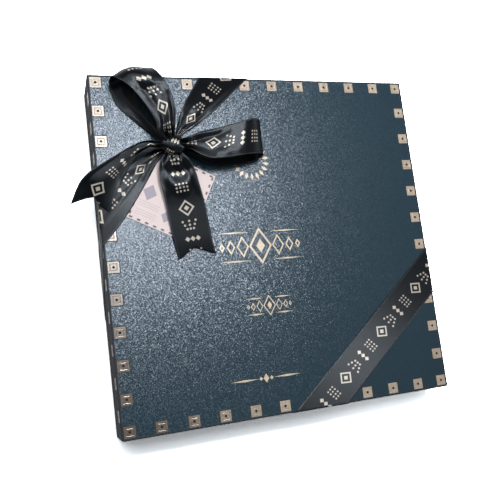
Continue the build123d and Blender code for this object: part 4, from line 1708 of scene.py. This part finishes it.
    def chocolates(self) -> None:
        """One piece for each chocolate, of the kind that its CAD node names."""
        kinds = (
            (Kind.DOME, self.dome, "dark_chocolate", (DARK,)),
            (Kind.SQUARE, self.square, "milk_chocolate", (MILK,)),
            (Kind.BATON, self.baton, "bitter_chocolate", (BITTER,)),
            (Kind.ROSETTE, self.rosette, "white_chocolate", (WHITE,)),
            (Kind.NUT_CUP, self.nut_cup, "nut_chocolate", (NOUGAT, NUT)),
        )
        patterns = []
        for kind, mould, _, _ in kinds:
            shape = bmesh.new()
            mould(shape)
            patterns.append(kept_mesh(shape, f"{kind.value}_mould"))
        for row, column, x, y in self.cells():
            index = (column + 2 * row) % len(kinds)
            kind, _, slot, finishes = kinds[index]
            node = f"praline_{row + 1}{column + 1}_{kind.value}"
            shape = bmesh.new()
            stamp(shape, patterns[index], Matrix.Translation((x, y, self.stand)))
            piece = new_piece(f"{node}_moulded", shape, "assortment", *finishes)
            stand_in(piece, node, slot)
            piece.data.set_sharp_from_angle(angle=math.radians(self.sharp_angle))

    def build(self) -> None:
        """Makes the cups and the chocolates."""
        self.cups()
        self.chocolates()


@dataclass
class CushionPad:
    """The quilted padding paper that lies over the chocolates."""

    side: float = 217.0 * MM
    low: float = 25.3 * MM
    high: float = 28.2 * MM
    quilt: float = 18.0 * MM
    closed: float = 4.0 * MM
    cells: int = 108

    def puff(self, x: float, y: float) -> float:
        """How far the sheets stand apart at a place, from 0 at the edge to 1."""
        one, two = (math.sin(math.pi * way / self.quilt) for way in (x + y, x - y))
        inward = min(self.side / 2 - abs(x), self.side / 2 - abs(y))
        edge = min(1.0, inward / self.closed)
        return (0.3 + 0.7 * abs(one * two) ** 0.45) * math.sin(edge * math.pi / 2)

    def build(self) -> None:
        """Two sheets puffed apart between crossing sewn lines, and closed round their edge."""
        shape = bmesh.new()
        middle, full = (self.low + self.high) / 2, (self.high - self.low) / 2
        for way in (1.0, -1.0):
            made = bmesh.ops.create_grid(
                shape, x_segments=self.cells, y_segments=self.cells, size=self.side / 2
            )
            for vert in made["verts"]:
                vert.co.z = middle + way * full * self.puff(vert.co.x, vert.co.y)
        mend(shape)
        piece = new_piece("quilted_pad", shape, "cushion", PadPaper())
        stand_in(piece, "cushion_pad", "pad_paper")


@dataclass
class Base:
    """The base tray, its papers, the liner, the dividers and the leaflet, on their CAD shapes."""

    strips: int = 4

    def build(self) -> None:
        """Gives each CAD node its own paper or board."""
        BASE_PAPER.dress("base_wrap", "base_bottom_paper")
        GREYBOARD.dress("base_board")
        LINING.dress("base_lining")
        LINER.dress("bottom_liner")
        for index in range(self.strips):
            DIVIDER.dress(f"divider_across_{index + 1}", f"divider_along_{index + 1}")
        LeafletPaper().dress("flavour_leaflet")


BASE_PAPER = PlainPaper("base_paper", srgb(50, 54, 60), srgb(36, 40, 45), 0.5 * MM, 0.7)
LINER = PlainPaper("brown_liner", srgb(112, 84, 62), srgb(92, 68, 50), 0.7 * MM, 0.7)
DIVIDER = PlainPaper("divider_card", srgb(198, 170, 126), srgb(172, 146, 104), 0.9 * MM, 0.55)
CUP_PAPER = PlainPaper("cup_paper", srgb(88, 62, 44), srgb(72, 50, 35), 0.4 * MM, 0.65)
DARK = Chocolate("dark_chocolate", srgb(66, 40, 28), srgb(84, 58, 44))
MILK = Chocolate("milk_chocolate", srgb(124, 80, 52), srgb(146, 104, 76))
BITTER = Chocolate("bitter_chocolate", srgb(52, 32, 24), srgb(70, 50, 42), 0.3)
WHITE = Chocolate("white_chocolate", srgb(226, 206, 166), srgb(238, 222, 190), 0.4)
NOUGAT = Chocolate("nut_chocolate", srgb(112, 70, 46), srgb(134, 92, 66))
NUT = Chocolate("roasted_nut", srgb(150, 98, 56), srgb(196, 150, 100), 0.5)


# Camera, floor and light


@dataclass
class Shot:
    """The camera, with the photograph's place, direction, lens and framing."""

    place: Vector = Vector((-150.6, -69.9, 425.4)) * MM
    looking: Vector = Vector((0.3537, 0.1213, -0.9275))
    upward: Vector = Vector((0.0791, 0.9841, 0.1589))
    lens: float = 45.67
    sensor: float = 36.0
    shift: tuple[float, float] = (-0.062, 0.034)
    seen: tuple[float, float] = (0.01, 20.0)

    def build(self) -> None:
        """Makes the camera and gives it to the scene."""
        data = bpy.data.cameras.new("camera")
        data.sensor_width = self.sensor
        data.lens = self.lens
        data.shift_x, data.shift_y = self.shift
        data.clip_start, data.clip_end = self.seen
        camera = placed("camera", data)
        right = self.looking.cross(self.upward).normalized()
        upright = right.cross(self.looking).normalized()
        turned = Matrix((right, upright, -self.looking.normalized())).transposed()
        camera.matrix_world = Matrix.Translation(self.place) @ turned.to_4x4()
        bpy.context.scene.camera = camera


@dataclass(frozen=True)
class Softbox:
    """A flat lamp that faces straight down and that the camera doesn't see."""

    name: str
    place: tuple[float, float, float]
    size: tuple[float, float]
    power: float

    def build(self) -> None:
        """Hangs the lamp."""
        lamp = bpy.data.lights.new(self.name, "AREA")
        lamp.shape = "RECTANGLE"
        lamp.size, lamp.size_y = self.size
        lamp.energy = self.power
        holder = placed(self.name, lamp)
        holder.location = self.place
        holder.visible_camera = False


@dataclass
class Studio:
    """A white floor, a softbox over the lid, three dimmer ones round it and a plain room."""

    lamps: tuple[Softbox, ...] = (
        Softbox("key", (0.028, 0.239, 0.732), (0.16, 0.16), 3.6),
        Softbox("veil", (-0.2, 0.3, 0.732), (0.55, 0.55), 2.8),
        Softbox("fill", (0.5, 0.12, 0.732), (0.9, 1.1), 0.95),
        Softbox("side", (-0.42, 0.25, 0.45), (0.32, 0.32), 0.3),
    )
    floor_size: float = 8.0
    # Camera-seen floor whites: a faint blue painted in, which shows only in the box's shadow, and
    # a brighter white towards +X, painted light that fades the box's shadow at its right end.
    white: Colour = (3.4, 3.6, 3.75, 1.0)
    painted_light_white: Colour = (4.9, 5.2, 5.4, 1.0)
    painted_light_from: tuple[float, float] = (-0.01, 0.1)
    bounced_white: float = 0.8
    mirrored_white: float = 1.0
    plain_from: tuple[float, float] = (0.35, 0.7)
    overhead: float = 0.048
    horizon: float = 0.8
    horizon_from: tuple[float, float] = (0.45, 0.1)

    def floor(self) -> None:
        """A white floor that shows white where nothing shades it, with painted light towards +X
        that fades the box's shadow.
        """
        material = bpy.data.materials.new("white_floor")
        nodes = Nodes.of(material)
        path = nodes.add("ShaderNodeLightPath")
        seen, glossy, through = (
            nodes.signal(path, f"Is {ray} Ray") for ray in ("Camera", "Glossy", "Transmission")
        )
        x, y, _ = nodes.split(nodes.place())
        bounced = scaled(PLAIN_WHITE, self.bounced_white)
        mirrored = scaled(PLAIN_WHITE, self.mirrored_white)
        # Painted light: the floor seen by the camera grows brighter towards +X.
        seen_white_and_painted_light = nodes.mix(nodes.ramp(x, *self.painted_light_from), self.white, self.painted_light_white)
        unseen = nodes.mix(largest(glossy, through), bounced, mirrored)
        matt = nodes.add("ShaderNodeBsdfDiffuse", {"Color": nodes.mix(seen, unseen, seen_white_and_painted_light)})
        plain = nodes.add("ShaderNodeEmission", {"Strength": 1.0})
        far = nodes.ramp(distance(x, y), *self.plain_from) * seen
        shaders = {"Fac": far, 1: matt.outputs[0], 2: plain.outputs[0]}
        both = nodes.add("ShaderNodeMixShader", shaders)
        nodes.add("ShaderNodeOutputMaterial", {"Surface": both.outputs[0]})
        shape = bmesh.new()
        bmesh.ops.create_grid(shape, x_segments=1, y_segments=1, size=self.floor_size / 2)
        mesh = kept_mesh(shape, "floor")
        mesh.materials.append(material)
        placed("floor", mesh)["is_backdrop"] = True

    def room(self) -> None:
        """A room that is white near the horizon and dimmer overhead."""
        world = bpy.data.worlds.new("room")
        bpy.context.scene.world = world
        nodes = Nodes.of(world)
        up = nodes.split(nodes.read("ShaderNodeTexCoord", output="Generated"))[2]
        seen = nodes.read("ShaderNodeLightPath", output="Is Camera Ray")
        glow = nodes.between(nodes.ramp(up, *self.horizon_from), self.overhead, self.horizon)
        light = {"Color": PLAIN_WHITE, "Strength": glow * (1.0 - seen) + seen}
        room = nodes.add("ShaderNodeBackground", light)
        nodes.add("ShaderNodeOutputWorld", {"Surface": room.outputs[0]})

    def build(self) -> None:
        """Makes the floor, the lamps and the room."""
        bpy.context.scene.view_settings.view_transform = "Standard"
        self.floor()
        for lamp in self.lamps:
            lamp.build()
        self.room()


def write_sizes() -> None:
    """Measures the CAD box and the visual model's box."""
    boxes = {"cad": CAD_BOX, "visual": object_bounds()}
    {name: [list(low), list(high)] for name, (low, high) in boxes.items()}


def main() -> None:
    """Builds the shot, the stage and each sub-assembly in turn."""
    logging.basicConfig(level=logging.INFO, format="%(message)s")
    for part in (Shot(), Studio(), Lid(), RibbonWork(), Base(), Assortment(), CushionPad()):
        part.build()
    write_sizes()


if __name__ == "__main__":
    main()
